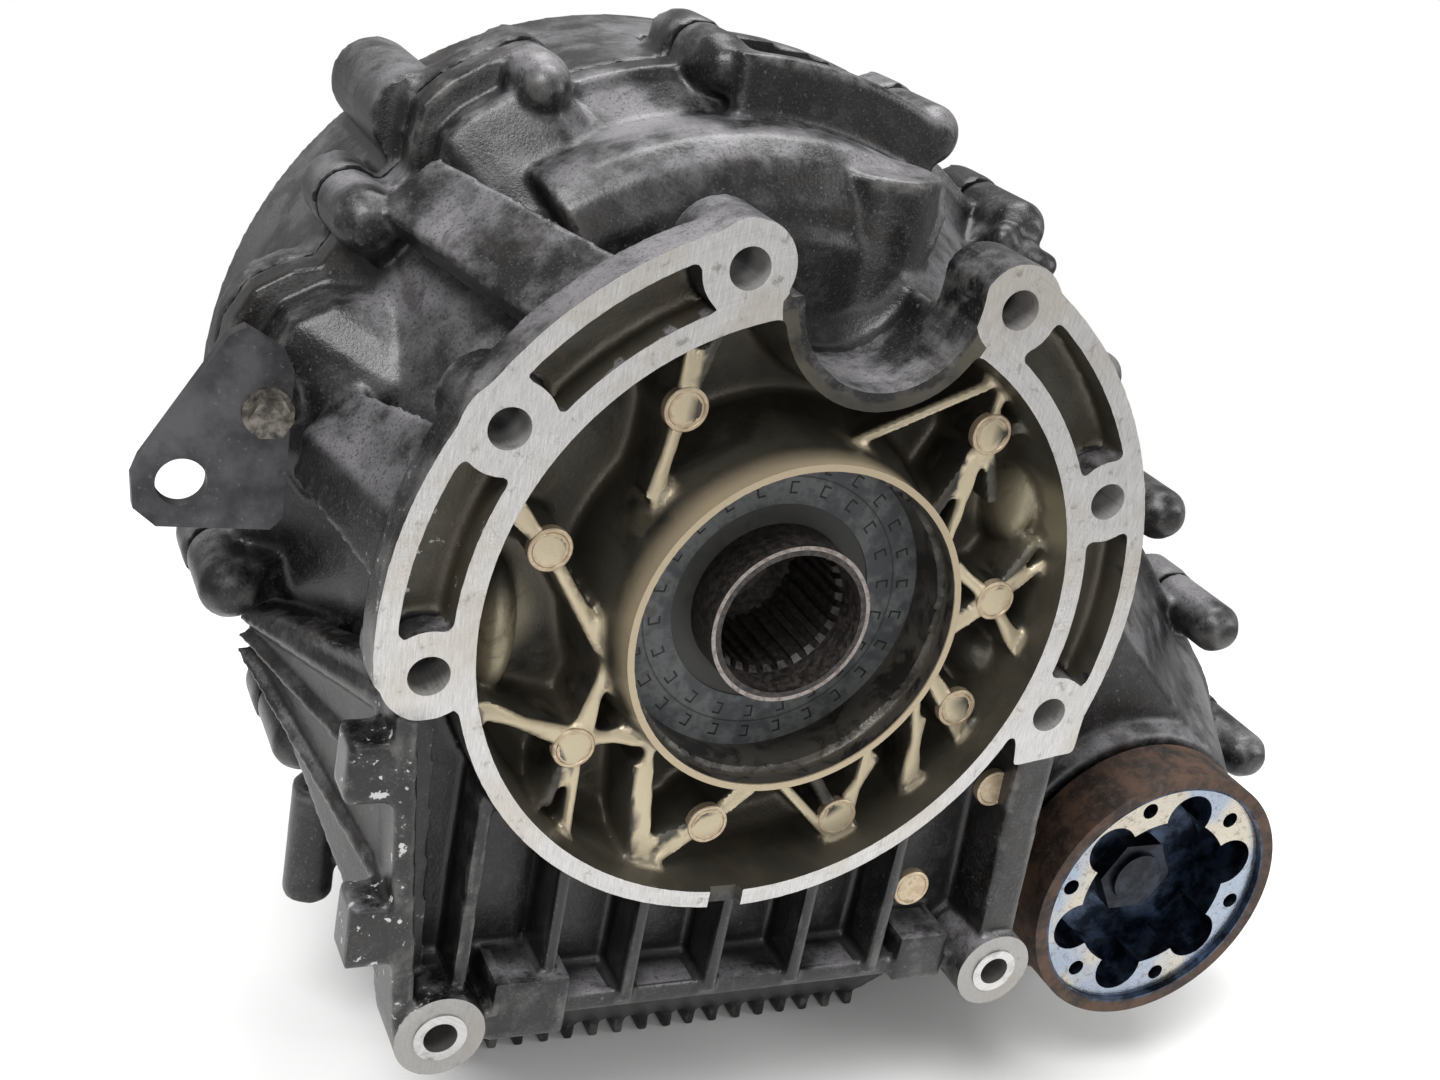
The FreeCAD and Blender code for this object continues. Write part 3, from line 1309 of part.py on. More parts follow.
node("actuator_pinion", fuse("actuator_pinion_body", [
    tooth_slab("pinion_teeth", gear_points(pinion_teeth, sector_module, 0.8 * sector_module,
                                           1.2 * sector_module, backlash,
                                           num(S.motor_angle) + 180.0 + 180.0 / pinion_teeth),
               ramp_front, 6, motor_x, motor_z),
    cylinder("pinion_shaft", 7.5, S.rear_depth + 1.5 - ramp_front, motor_x, ramp_front, motor_z),
]))
motor_face = S.rear_depth + 2
motor_ears = [
    cylinder("motor_ear_%d" % (number + 1), 7.5, 8, motor_x + (S.motor_radius + 3) * cosine(number * 180.0 - 30),
             motor_face, motor_z + (S.motor_radius + 3) * sine(number * 180.0 - 30))
    for number in range(2)
]
node("actuator_motor", fuse("actuator_motor_body", [
    turned_body("motor_can", [
        (0, motor_face), (S.motor_radius, motor_face), (S.motor_radius, motor_face + 12),
        (S.motor_radius - 4, motor_face + 14), (S.motor_radius - 4, motor_face + S.motor_length - 4),
        (S.motor_radius - 8, motor_face + S.motor_length), (0, motor_face + S.motor_length),
    ], motor_x, motor_z),
] + motor_ears))

# ------------------------------------------------------------------ bearings, seals and pump
gap = S.running_gap
node("input_bearing", turned_body("input_bearing_body", ring_profile(S.input_journal + gap, 47.5, 31, 49)))
node("bearing_spacer", turned_body("bearing_spacer_body", ring_profile(41, 47.5, 20, 31)))
node("seal_carrier", turned_body("seal_carrier_body", ring_profile(34, S.nose_bore, 14, S.nose_bore_depth)))
node("input_seal", turned_body("input_seal_body", ring_profile(S.input_radius + gap, 34, 14.6, 17)))
seal_face = S.snout_front
node("front_output_seal", turned_body("front_output_seal_body", ring_profile(
    24 + gap, 36, seal_face, seal_face + 6), out_x, out_z))
node("front_output_bearing", turned_body("front_output_bearing_body", ring_profile(
    17.5 + gap, 36, seal_face + 6.5, seal_face + 23.5), out_x, out_z))
node("rear_support_bearing", turned_body("rear_support_bearing_body", ring_profile(
    15 + gap, 31, S.chain_case_back - 22, S.chain_case_back - 6), out_x, out_z))
node("rear_output_bearing", turned_body("rear_output_bearing_body", ring_profile(
    17.5 + gap, 40, rear_journal, rear_journal + 20)))
node("rear_output_seal", turned_body("rear_output_seal_body", ring_profile(
    22 + gap, 36, rear_journal + 23, rear_journal + 31)))
node("oil_pump", turned_body("oil_pump_body", ring_profile(
    S.main_radius + gap, S.rear_bore - 5, S.rear_depth + 4, S.rear_depth + 26)))

# ------------------------------------------------------------------ outputs
flange_back = S.front_flange_face + S.front_flange_depth
cup_floor = flange_back - 5
node("front_output_shaft", turned_body("front_output_shaft_body", [
    (0, cup_floor - 9), (11, cup_floor - 9), (11, cup_floor), (16, cup_floor), (16, seal_face + 6.4),
    (17.5, seal_face + 6.4), (17.5, seal_face + 25), (20, seal_face + 26), (20, S.sprocket_front - 1),
    (22, S.sprocket_front), (22, sprocket_back), (15, sprocket_back + 2), (15, S.chain_case_back - 5.5),
    (0, S.chain_case_back - 5.5),
], out_x, out_z))
flange_body = turned_body("front_flange_disc", [
    (16, cup_floor), (S.cup_radius, cup_floor), (S.cup_radius, S.front_flange_face + S.front_flange_lip),
    (S.front_flange_pilot, S.front_flange_face + S.front_flange_lip),
    (S.front_flange_pilot, S.front_flange_face), (S.front_flange_radius, S.front_flange_face),
    (S.front_flange_radius, flange_back - 2), (S.front_flange_radius - 2, flange_back), (24, flange_back),
    (24, seal_face + 6.3), (16, seal_face + 6.3),
], out_x, out_z)
bored_pattern(flange_body, "flange_bolt_hole", S.front_hole_radius, S.front_hole_circle, 6,
              S.front_flange_face, 16, 50.1)
bored_pattern(flange_body, "flange_scallop", S.scallop_radius, S.scallop_circle, 6,
              S.front_flange_face, S.front_flange_depth - 7, 20.1)
node("front_output_flange", flange_body)


def hex_nut(name, bore, across, y, depth, x=0, z=0):
    points = [(x + across * cosine(60 * k), z + across * sine(60 * k)) for k in range(6)]
    return cut(name, extruded(name + "_hex", points, y, depth), cylinder(name + "_bore", bore, 60, x, y - 20, z))


node("front_flange_nut", hex_nut("front_flange_nut_body", 11, 17, cup_floor - 7, 7, out_x, out_z))
rear_body = turned_body("rear_flange_disc", [
    (15, rear_journal + 21.3), (22, rear_journal + 21.3), (22, S.rear_flange_back - 12),
    (S.rear_flange_radius, S.rear_flange_back - 12), (S.rear_flange_radius, S.rear_flange_back),
    (30, S.rear_flange_back), (30, S.rear_flange_back - 4), (15, S.rear_flange_back - 4),
])
bored_pattern(rear_body, "rear_flange_hole", 5.2, 41, 4, S.rear_flange_back - 14, 20, 45.0)
node("rear_output_flange", rear_body)
node("rear_flange_nut", hex_nut("rear_flange_nut_body", 12, 18.5, S.rear_flange_back - 3.8, 7))

doc.recompute()


def check(names):
    for obj in doc.Objects:
        if "Invalid" in obj.State or "Error" in obj.State:
            raise ValueError("%s failed: %s" % (obj.Name, obj.State))
    for name in names:
        shape = nodes[name].Shape
        if shape.isNull() or not shape.isValid():
            raise ValueError("%s has no valid shape" % name)


check(list(nodes))
os.makedirs("parts", exist_ok=True)
for name in nodes:
    nodes[name].Shape.exportStep("parts/%s.step" % name)
    shape = nodes[name].Shape
    print("%-26s solids %d volume %.0f faces %d" % (name, len(shape.Solids), shape.Volume, len(shape.Faces)))
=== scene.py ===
"""Looks for a two-speed transfer case: smoothed castings, worn machined faces, rust and oil."""
import math

import bmesh
import bpy
import numpy as np
from mathutils import Matrix, Vector


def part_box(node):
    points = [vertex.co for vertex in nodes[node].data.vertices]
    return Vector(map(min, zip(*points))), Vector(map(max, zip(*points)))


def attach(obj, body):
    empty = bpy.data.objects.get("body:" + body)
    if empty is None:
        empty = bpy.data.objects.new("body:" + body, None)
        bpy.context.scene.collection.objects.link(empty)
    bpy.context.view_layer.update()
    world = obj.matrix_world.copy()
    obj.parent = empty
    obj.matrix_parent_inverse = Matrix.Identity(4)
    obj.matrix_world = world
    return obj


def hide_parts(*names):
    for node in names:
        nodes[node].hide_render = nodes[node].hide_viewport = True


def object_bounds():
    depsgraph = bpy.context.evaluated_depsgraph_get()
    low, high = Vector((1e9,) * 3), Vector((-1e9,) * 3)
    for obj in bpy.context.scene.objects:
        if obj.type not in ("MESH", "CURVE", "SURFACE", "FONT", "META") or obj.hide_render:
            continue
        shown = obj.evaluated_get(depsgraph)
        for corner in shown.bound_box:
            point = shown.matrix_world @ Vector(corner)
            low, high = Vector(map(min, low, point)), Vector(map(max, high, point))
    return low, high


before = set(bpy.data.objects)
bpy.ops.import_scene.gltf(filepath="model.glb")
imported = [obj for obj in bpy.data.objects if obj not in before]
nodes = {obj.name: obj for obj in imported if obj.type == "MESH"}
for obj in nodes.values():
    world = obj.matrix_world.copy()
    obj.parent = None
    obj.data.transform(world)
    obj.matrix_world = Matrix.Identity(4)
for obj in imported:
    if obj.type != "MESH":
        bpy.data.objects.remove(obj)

cad_bounds = [list(map(float, corner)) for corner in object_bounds()]
MM = 0.001

# ------------------------------------------------------------------ camera
camera_data = bpy.data.cameras.new("camera")
camera = bpy.data.objects.new("camera", camera_data)
bpy.context.scene.collection.objects.link(camera)
bpy.context.scene.camera = camera
camera_data.sensor_width = 36.0
camera_data.lens = 44.927
camera_data.clip_start = 0.01
right = Vector((0.90438687, -0.38672993, 0.18034509))
up = Vector((-0.00035073, 0.42196363, 0.90661269))
forward = Vector((0.42671333, 0.81999187, -0.38148273))
turn = Matrix((right, up, -forward)).transposed().to_4x4()
camera.matrix_world = Matrix.Translation((-0.25691186, -0.43730060, 0.23151501)) @ turn


# ------------------------------------------------------------------ node graph helper
class Look:
    """A Principled material and short calls that add nodes to it."""

    def __init__(self, name):
        self.mat = bpy.data.materials.new(name)
        self.mat.use_nodes = True
        self.tree = self.mat.node_tree
        self.shader = self.tree.nodes["Principled BSDF"]
        self.coord = self.tree.nodes.new("ShaderNodeTexCoord").outputs["Object"]
        self.geometry = self.tree.nodes.new("ShaderNodeNewGeometry")
        split = self.tree.nodes.new("ShaderNodeSeparateXYZ")
        self.link(self.coord, split.inputs[0])
        self.x, self.y, self.z = split.outputs
        split = self.tree.nodes.new("ShaderNodeSeparateXYZ")
        self.link(self.geometry.outputs["Normal"], split.inputs[0])
        self.nx, self.ny, self.nz = split.outputs

    def link(self, a, b):
        self.tree.links.new(a, b)

    def feed(self, socket, value):
        if isinstance(value, bpy.types.NodeSocket):
            self.link(value, socket)
        elif isinstance(value, (tuple, list)) and len(value) == 3 and socket.type == "RGBA":
            socket.default_value = (*value, 1.0)
        else:
            socket.default_value = value

    def math(self, op, a, b=0.0, c=None):
        n = self.tree.nodes.new("ShaderNodeMath")
        n.operation = op
        self.feed(n.inputs[0], a)
        self.feed(n.inputs[1], b)
        if c is not None:
            self.feed(n.inputs[2], c)
        return n.outputs[0]

    def times(self, *values):
        """The product of the values."""
        product = values[0]
        for value in values[1:]:
            product = self.math("MULTIPLY", product, value)
        return product

    def plus(self, a, b):
        return self.math("ADD", a, b)

    def minus(self, a, b):
        return self.math("SUBTRACT", a, b)

    def most(self, a, b):
        return self.math("MAXIMUM", a, b)

    def below(self, value, limit):
        """1 under the limit, 0 from it on."""
        return self.math("LESS_THAN", value, limit)

    def above(self, value, limit):
        """1 over the limit, 0 up to it."""
        return self.math("GREATER_THAN", value, limit)

    def within(self, value, middle, reach):
        """1 no further than reach from the middle, 0 elsewhere."""
        return self.math("COMPARE", value, middle, reach)

    def noise(self, scale, detail=4.0, rough=0.55, distort=0.0, at=None):
        n = self.tree.nodes.new("ShaderNodeTexNoise")
        self.link(at or self.coord, n.inputs["Vector"])
        n.inputs["Scale"].default_value = scale
        n.inputs["Detail"].default_value = detail
        n.inputs["Roughness"].default_value = rough
        n.inputs["Distortion"].default_value = distort
        return n.outputs["Fac"]

    def step(self, value, low, high):
        """0 on low's side, 1 on high's side, a smooth climb between."""
        n = self.tree.nodes.new("ShaderNodeMapRange")
        n.interpolation_type = "SMOOTHSTEP"
        self.feed(n.inputs["Value"], value)
        n.inputs["From Min"].default_value = low
        n.inputs["From Max"].default_value = high
        return n.outputs["Result"]

    def between(self, value, low, high):
        """Scales a 0 to 1 value into low to high."""
        n = self.tree.nodes.new("ShaderNodeMapRange")
        self.feed(n.inputs["Value"], value)
        n.inputs["To Min"].default_value = low
        n.inputs["To Max"].default_value = high
        return n.outputs["Result"]

    def mix(self, factor, a, b):
        """The colour a where the factor is 0, b where it is 1."""
        n = self.tree.nodes.new("ShaderNodeMix")
        n.data_type = "RGBA"
        self.feed(n.inputs["Factor"], factor)
        self.feed(n.inputs["A"], a if isinstance(a, bpy.types.NodeSocket) else (*a, 1.0))
        self.feed(n.inputs["B"], b if isinstance(b, bpy.types.NodeSocket) else (*b, 1.0))
        return n.outputs["Result"]

    def over(self, colour, mask, share, paint):
        """The colour with a paint laid over it where the mask is, at most by the share."""
        return self.mix(self.times(mask, share), colour, paint)

    def blend(self, factor, a, b):
        """The number a where the factor is 0, b where it is 1."""
        n = self.tree.nodes.new("ShaderNodeMix")
        n.data_type = "FLOAT"
        self.feed(n.inputs["Factor"], factor)
        self.feed(n.inputs["A"], a)
        self.feed(n.inputs["B"], b)
        return n.outputs["Result"]

    def vector(self, x, y, z):
        n = self.tree.nodes.new("ShaderNodeCombineXYZ")
        for socket, value in zip(n.inputs, (x, y, z)):
            self.feed(socket, value)
        return n.outputs[0]

    def stored(self, name):
        """A value that the mesh holds at its points."""
        n = self.tree.nodes.new("ShaderNodeAttribute")
        n.attribute_name = name
        return n.outputs["Fac"]

    def bump(self, height, strength, distance, under=None):
        n = self.tree.nodes.new("ShaderNodeBump")
        n.inputs["Strength"].default_value = strength
        n.inputs["Distance"].default_value = distance
        self.link(height, n.inputs["Height"])
        if under is not None:
            self.link(under, n.inputs["Normal"])
        return n.outputs["Normal"]

    def radius(self, x0=0.0, z0=0.0):
        """Distance from a line parallel to Y."""
        dx = self.minus(self.x, x0)
        dz = self.minus(self.z, z0)
        return self.math("SQRT", self.plus(self.times(dx, dx), self.times(dz, dz)))

    def turned_lines(self, fine, along, x0=0.0, z0=0.0):
        """Noise drawn out along circles about a line parallel to Y, as a lathe leaves it."""
        angle = self.math("ARCTAN2", self.minus(self.z, z0), self.minus(self.x, x0))
        at = self.vector(self.times(self.radius(x0, z0), fine), self.times(self.y, fine),
                         self.times(angle, along / 60.0))
        return self.noise(1.0, 3.0, 0.6, at=at)

    def set(self, **values):
        """Feeds the shader's inputs; an underscore stands for a space in an input's name."""
        for name, value in values.items():
            self.feed(self.shader.inputs[name.replace("_", " ")], value)

    def grease(self, colour, roughness, amount):
        """Dark oily patches laid over a colour and a roughness."""
        patch = self.step(self.noise(45.0, 6.0, 0.62, 0.4), 0.62 - amount * 0.25, 0.78 - amount * 0.2)
        return self.mix(patch, colour, (0.012, 0.0105, 0.009)), self.blend(patch, roughness, 0.24)


# ------------------------------------------------------------------ mesh helpers
def new_object(name, data):
    """An object with this data, in the scene."""
    obj = bpy.data.objects.new(name, data)
    bpy.context.scene.collection.objects.link(obj)
    return obj


def points_of(mesh):
    """The mesh's points, one row each."""
    co = np.empty(len(mesh.vertices) * 3, np.float32)
    mesh.vertices.foreach_get("co", co)
    return co.reshape(-1, 3).astype(float)


def write_points(mesh, co):
    mesh.vertices.foreach_set("co", co.astype(np.float32).ravel())
    mesh.update()


def edges_of(mesh):
    """The two point numbers of each edge."""
    pairs = np.empty(len(mesh.edges) * 2, np.int32)
    mesh.edges.foreach_get("vertices", pairs)
    return pairs.reshape(-1, 2)


def normals_of(mesh):
    out = np.empty(len(mesh.vertices) * 3, np.float32)
    mesh.vertex_normals.foreach_get("vector", out)
    return out.reshape(-1, 3).astype(float)


def averaged(co, pairs, share):
    """Each point moved towards the middle of its neighbours."""
    count = np.bincount(pairs.ravel(), minlength=len(co)).astype(float)
    count[count == 0] = 1
    total = np.empty_like(co)
    for k in range(3):
        total[:, k] = (np.bincount(pairs[:, 0], co[pairs[:, 1], k], len(co))
                       + np.bincount(pairs[:, 1], co[pairs[:, 0], k], len(co)))
    return co + share * (total / count[:, None] - co)


def smooth_points(co, pairs, rounds):
    """Rounds corners without shrinking the whole."""
    for _ in range(rounds):
        co = averaged(co, pairs, 0.52)
        co = averaged(co, pairs, -0.50)
    return co


def applied(obj):
    """The object's mesh with its modifiers worked in."""
    bpy.context.view_layer.update()
    result = bpy.data.meshes.new_from_object(obj.evaluated_get(bpy.context.evaluated_depsgraph_get()))
    obj.modifiers.clear()
    old = obj.data
    obj.data = result
    bpy.data.meshes.remove(old)
    return result


def store(mesh, name, values):
    """Keeps a value per point for a look to read."""
    layer = mesh.attributes.new(name, "FLOAT", "POINT")
    layer.data.foreach_set("value", values.astype(np.float32))


def prism(x0, z0, x1, z1, section):
    """A closed bar between two x, z ends; section lists half widths and their y from front to back."""
    length = math.hypot(x1 - x0, z1 - z0)
    ux, uz = (z1 - z0) / length, (x0 - x1) / length
    loop = [(-half, y) for half, y in section] + [(half, y) for half, y in reversed(section)]
    verts = []
    for x, z in ((x0, z0), (x1, z1)):
        verts += [((x + ux * half) * MM, y * MM, (z + uz * half) * MM) for half, y in loop]
    count = len(loop)
    polys = [(k, (k + 1) % count, count + (k + 1) % count, count + k) for k in range(count)]
    return verts, polys + [tuple(range(count))[::-1], tuple(range(count, 2 * count))]


def ball(x, y, z, rx, ry, rz):
    """A closed egg shape with its half sizes along the axes."""
    bands, sides = 12, 20
    verts, polys = [(x * MM, y * MM, (z + rz) * MM)], []
    for band in range(1, bands):
        flat = math.pi * band / bands
        verts += [((x + rx * math.sin(flat) * math.cos(k * 2 * math.pi / sides)) * MM,
                   (y + ry * math.sin(flat) * math.sin(k * 2 * math.pi / sides)) * MM,
                   (z + rz * math.cos(flat)) * MM) for k in range(sides)]
    verts.append((x * MM, y * MM, (z - rz) * MM))
    polys += [(0, 1 + k, 1 + (k + 1) % sides) for k in range(sides)]
    for band in range(bands - 2):
        a = 1 + band * sides
        b = a + sides
        polys += [(a + k, b + k, b + (k + 1) % sides, a + (k + 1) % sides) for k in range(sides)]
    a = 1 + (bands - 2) * sides
    polys += [(a + k, len(verts) - 1, a + (k + 1) % sides) for k in range(sides)]
    return verts, polys


def join_shapes(mesh, extra):
    """Adds closed shapes to a mesh; the remesh then makes one skin of them."""
    bm = bmesh.new()
    bm.from_mesh(mesh)
    for verts, polys in extra:
        made = [bm.verts.new(v) for v in verts]
        faces = [bm.faces.new([made[k] for k in poly]) for poly in polys]
        bmesh.ops.recalc_face_normals(bm, faces=faces)
    bm.to_mesh(mesh)
    bm.free()


def shade(mesh, sharp):
    """Smooth shading with sharp edges kept from the given angle in degrees."""
    mesh.polygons.foreach_set("use_smooth", [True] * len(mesh.polygons))
    mesh.set_sharp_from_angle(angle=math.radians(sharp))


# how far a machined face is carried out, and how near its level a point has to lie to be carried
OVERSHOOT = 2.6 * MM
ON_FACE = 0.1 * MM
# how near a bore's radius a point has to lie to be put on it
BORE_SNAP = 0.75 * MM
# the height of a ridge over its surroundings that counts as a full edge
EDGE_FULL = 0.5 * MM


def casting(source, name, voxel, rounds, most, faces=(), holes=(), extra=(), keep=None, soft_rounds=0,
            notch=None):
    """A cast skin from a CAD node: corners rounded, machined faces and bores kept true.

    A machined face is carried out by the overshoot before the corners are rounded and cut back after,
    so its outline stays crisp.  faces are (y, least radius, largest radius), holes are round walls as
    (x, z, radius, front y, back y), and notch is (left x, right x, top z, largest radius, depth), all in
    metres.  keep gives 1 where the shape skips the soft rounds, and most is the triangles left at the most.
    """
    obj = new_object(name, nodes[source].data.copy())
    obj.data.materials.clear()
    co = points_of(obj.data)
    reach = np.hypot(co[:, 0], co[:, 2])
    for level, low, high in faces:
        co[(np.abs(co[:, 1] - level) < ON_FACE) & (reach > low) & (reach < high), 1] -= OVERSHOOT
    write_points(obj.data, co)
    join_shapes(obj.data, extra)
    remesh = obj.modifiers.new("remesh", "REMESH")
    remesh.mode = "VOXEL"
    remesh.voxel_size = voxel
    mesh = applied(obj)
    pairs = edges_of(mesh)
    co = smooth_points(points_of(mesh), pairs, rounds)
    if soft_rounds:
        soft = 1.0 - keep(co)[:, None]
        co = co + soft * (smooth_points(co, pairs, soft_rounds) - co)
    reach = np.hypot(co[:, 0], co[:, 2])
    for level, low, high in faces:
        co[(co[:, 1] < level) & (reach > low) & (reach < high), 1] = level
    for x, z, radius, y0, y1 in holes:
        dx, dz = co[:, 0] - x, co[:, 2] - z
        away = np.hypot(dx, dz)
        bore = (np.abs(away - radius) < BORE_SNAP) & (co[:, 1] > y0) & (co[:, 1] < y1)
        co[bore, 0] = x + dx[bore] * radius / away[bore]
        co[bore, 2] = z + dz[bore] * radius / away[bore]
    if notch:
        left, right, top, widest, depth = notch
        cut = (co[:, 0] > left) & (co[:, 0] < right) & (co[:, 2] < top) & (reach < widest)
        co[cut & (co[:, 1] < depth), 1] = depth
    low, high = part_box(source)
    co = np.clip(co, np.array(low), np.array(high))
    write_points(mesh, co)
    triangles = len(mesh.polygons) * 2
    if triangles > most:
        thin = obj.modifiers.new("thin", "DECIMATE")
        thin.ratio = most / triangles
        mesh = applied(obj)
    shade(mesh, 38)
    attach(obj, "case")
    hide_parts(source)
    co = points_of(mesh)
    pairs = edges_of(mesh)
    normal = normals_of(mesh)
    wide = co
    for _ in range(6):
        wide = averaged(wide, pairs, 0.6)
    store(mesh, "edge", np.clip(((co - wide) * normal).sum(1) / EDGE_FULL, -1, 1))
    return mesh


# ------------------------------------------------------------------ shared places
# These are in millimetres.  Places are x, z.
BELL_HOLES = [(-36.5, 111.1), (-99.4, 61.5), (-112.8, -15.0), (55.4, 104.2), (107.9, 41.8), (108.9, -38.2)]
BELL_PADS = [(-43, 65), (-78, 20), (-60, -48), (-8, -80), (41, -81), (78, -40), (82, 1), (64, 60)]
APRON_PADS = [(103, -74), (79, -114)]
# each rib's two ends as x, z, x, z; the section gives half widths with their y
RIBS = [(-44.6, 84, -44.8, 65), (-44.8, 65, -47, 23), (-90.2, 35.8, -77.1, 17.7),
        (-77.1, 17.7, -53.9, -13.8), (-91, -35.5, -59.5, -43.4), (-59.5, -43.4, -32, -49),
        (-53.5, -13, -55.3, -42.9), (-55.3, -42.9, -58.6, -49.6), (-57.6, -49.6, -57, -84),
        (-33.6, -49, -27.1, -97), (-27.3, -96.4, -7.8, -81.2), (-7.8, -81.2, 8, -67),
        (17, -67, 45.8, -94.5), (47.3, -54, 45.8, -94.5), (61, -34, 71.7, -76.5), (65, -29, 87.2, -58),
        (81.5, -1.5, 102, 17.7), (81.5, -1.5, 103.9, -21.1), (81.5, -1.5, 64, 14), (81.5, -1.5, 67, -12),
        (65.1, 75, 63.4, 59.9), (63.4, 59.9, 58.5, 23), (63, 78, 14.5, 55)]
RIB_SECTION = [(1.2, 10.6), (1.8, 11.4), (2.0, 22), (2.8, 37)]
HOLE_RADIUS = 6.4
LUG_RADIUS = 8.8
BELL_RADIUS = 103
NOSE_BORE, NOSE_OUTSIDE = 52, 56.2
POCKET_INNER, POCKET_OUTER, POCKET_DEPTH = 104, 126.5, 12.6
SADDLE = (12.5, 106)
RIGHT_BULGE = (90, 33)
LEFT_BULGE = (-87, -14)
PAD_FRONT = 10.0
SPLIT = 120


def metres(x, z):
    """A place given in millimetres, in metres."""
    return x * MM, z * MM


def near(co, x, z, radius):
    """True for the points inside a round bar parallel to Y; place and radius in millimetres."""
    return np.hypot(co[:, 0] - x * MM, co[:, 2] - z * MM) < radius * MM


def ramp(value, width):
    """0 up to 0, a straight climb over the width, then 1."""
    return np.clip(value / width, 0, 1)


# ------------------------------------------------------------------ the front casting
lugs = [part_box("left_lug_bush"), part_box("right_lug_bush")]
lug_middles = [((low.x + high.x) / 2, (low.z + high.z) / 2) for low, high in lugs]
flange_low, flange_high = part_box("front_output_flange")
cup_middle = ((flange_low.x + flange_high.x) / 2, (flange_low.z + flange_high.z) / 2)
nose_front = min(v.co.y for v in nodes["front_case"].data.vertices)
front_faces = [(0.0, 0.07, 1.0), (nose_front, 0.0, 0.07)]
front_holes = [(*metres(x, z), HOLE_RADIUS * MM, -1 * MM, 30 * MM) for x, z in BELL_HOLES]
front_holes += [(x, z, LUG_RADIUS * MM, -1 * MM, 30 * MM) for x, z in lug_middles]
front_holes += [(0, 0, NOSE_BORE * MM, -9 * MM, 12 * MM), (0, 0, NOSE_OUTSIDE * MM, -9 * MM, 0)]
ring_notch = (-6.5 * MM, 4.5 * MM, -0.09, 0.109, 3 * MM)
front_shapes = [prism(*ends, RIB_SECTION) for ends in RIBS]
# three bulges on the bell's floor
front_shapes += [ball(90, 30, 33, 8, 15, 19), ball(-87, 30, -14, 8, 15, 23), ball(93, 34, -28, 10, 14, 10)]
# round tips of two short screw towers
for bearing, out in ((math.radians(117), 153.5), (math.radians(94), 150)):
    front_shapes.append(ball(out * math.cos(bearing), 96.5, out * math.sin(bearing), 8.5, 9, 8.5))
# rubber lumps beside the saddle
front_shapes += [ball(108, 82, 100, 9, 7, 6), ball(116, 80, 98, 6, 6, 5), ball(101, 84, 104, 6, 6, 7)]


def front_keep(co):
    """1 where the finer shape is kept: the bell, the lower front with its lugs, the fins' tips."""
    y, z = co[:, 1] / MM, co[:, 2] / MM
    keep = ramp(132 - np.hypot(co[:, 0], co[:, 2]) / MM, 5) * ramp(30 - y, 8)
    keep = np.maximum(keep, ramp(-100 - z, 8) * ramp(30 - y, 6))
    return np.maximum(keep, ramp(-218 - z, 5))


front_mesh = casting("front_case", "front_casting", 1.35 * MM, 4, 196000, front_faces, front_holes,
                     front_shapes, front_keep, 34, ring_notch)

co = points_of(front_mesh)
radius = np.hypot(co[:, 0], co[:, 2])
bell = (radius < BELL_RADIUS * MM) & (co[:, 1] < 38 * MM) & ~near(co, *SADDLE, 33)
angle = np.degrees(np.arctan2(co[:, 2], co[:, 0])) % 360
in_left = (angle > 107) & (angle < 189)
in_right = (angle > 339.5) | (angle < 63)
pocket = (radius > POCKET_INNER * MM) & (radius < POCKET_OUTER * MM) & (in_left | in_right)
pocket &= (co[:, 1] > 0.2 * MM) & (co[:, 1] < POCKET_DEPTH * MM)
bores = np.zeros(len(co), bool)
for x, z in BELL_HOLES:
    pocket &= ~near(co, x, z, 15.5)
    bores |= near(co, x, z, HOLE_RADIUS + 0.5) & (co[:, 1] < 22 * MM)
for x, z in lug_middles:
    bores |= near(co, x / MM, z / MM, LUG_RADIUS + 0.4) & (co[:, 1] < 28 * MM)
rib_top = np.zeros(len(co), bool)
for x0, z0, x1, z1 in RIBS:
    length = math.hypot(x1 - x0, z1 - z0)
    dx, dz = co[:, 0] / MM - x0, co[:, 2] / MM - z0
    along = np.clip((dx * (x1 - x0) + dz * (z1 - z0)) / length, 0, length)
    aside = np.hypot(dx - along * (x1 - x0) / length, dz - along * (z1 - z0) / length)
    rib_top |= (aside < 4.5) & (co[:, 1] < 24 * MM)
rib_top &= bell & (radius > 57 * MM)
store(front_mesh, "clean", (bell | pocket).astype(float))
store(front_mesh, "bore", bores.astype(float))
store(front_mesh, "rib", rib_top.astype(float))


def round_pads(places, radius, front, depth):
    """Short cast discs with a fine step inside the rim, one mesh; sizes in millimetres."""
    sides = 48
    rings = [(radius, front + depth), (radius, front + 0.25), (radius - 0.3, front), (radius - 1.1, front),
             (radius - 1.35, front + 0.35), (radius - 1.6, front + 0.1)]
    verts, polys = [], []
    for x, z in places:
        base = len(verts)
        for r, y in rings:
            for k in range(sides):
                turned = k * 2 * math.pi / sides
                verts.append(((x + r * math.cos(turned)) * MM, y * MM, (z + r * math.sin(turned)) * MM))
        for ring in range(len(rings) - 1):
            a = base + ring * sides
            b = a + sides
            polys += [(a + k, b + k, b + (k + 1) % sides, a + (k + 1) % sides) for k in range(sides)]
        polys.append(tuple(base + (len(rings) - 1) * sides + k for k in range(sides))[::-1])
        polys.append(tuple(base + k for k in range(sides)))
    mesh = bpy.data.meshes.new("round_pads")
    mesh.from_pydata(verts, [], polys)
    bm = bmesh.new()
    bm.from_mesh(mesh)
    bmesh.ops.recalc_face_normals(bm, faces=bm.faces)
    bm.to_mesh(mesh)
    bm.free()
    shade(mesh, 30)
    obj = new_object("round_pads", mesh)
    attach(obj, "case")
    return mesh


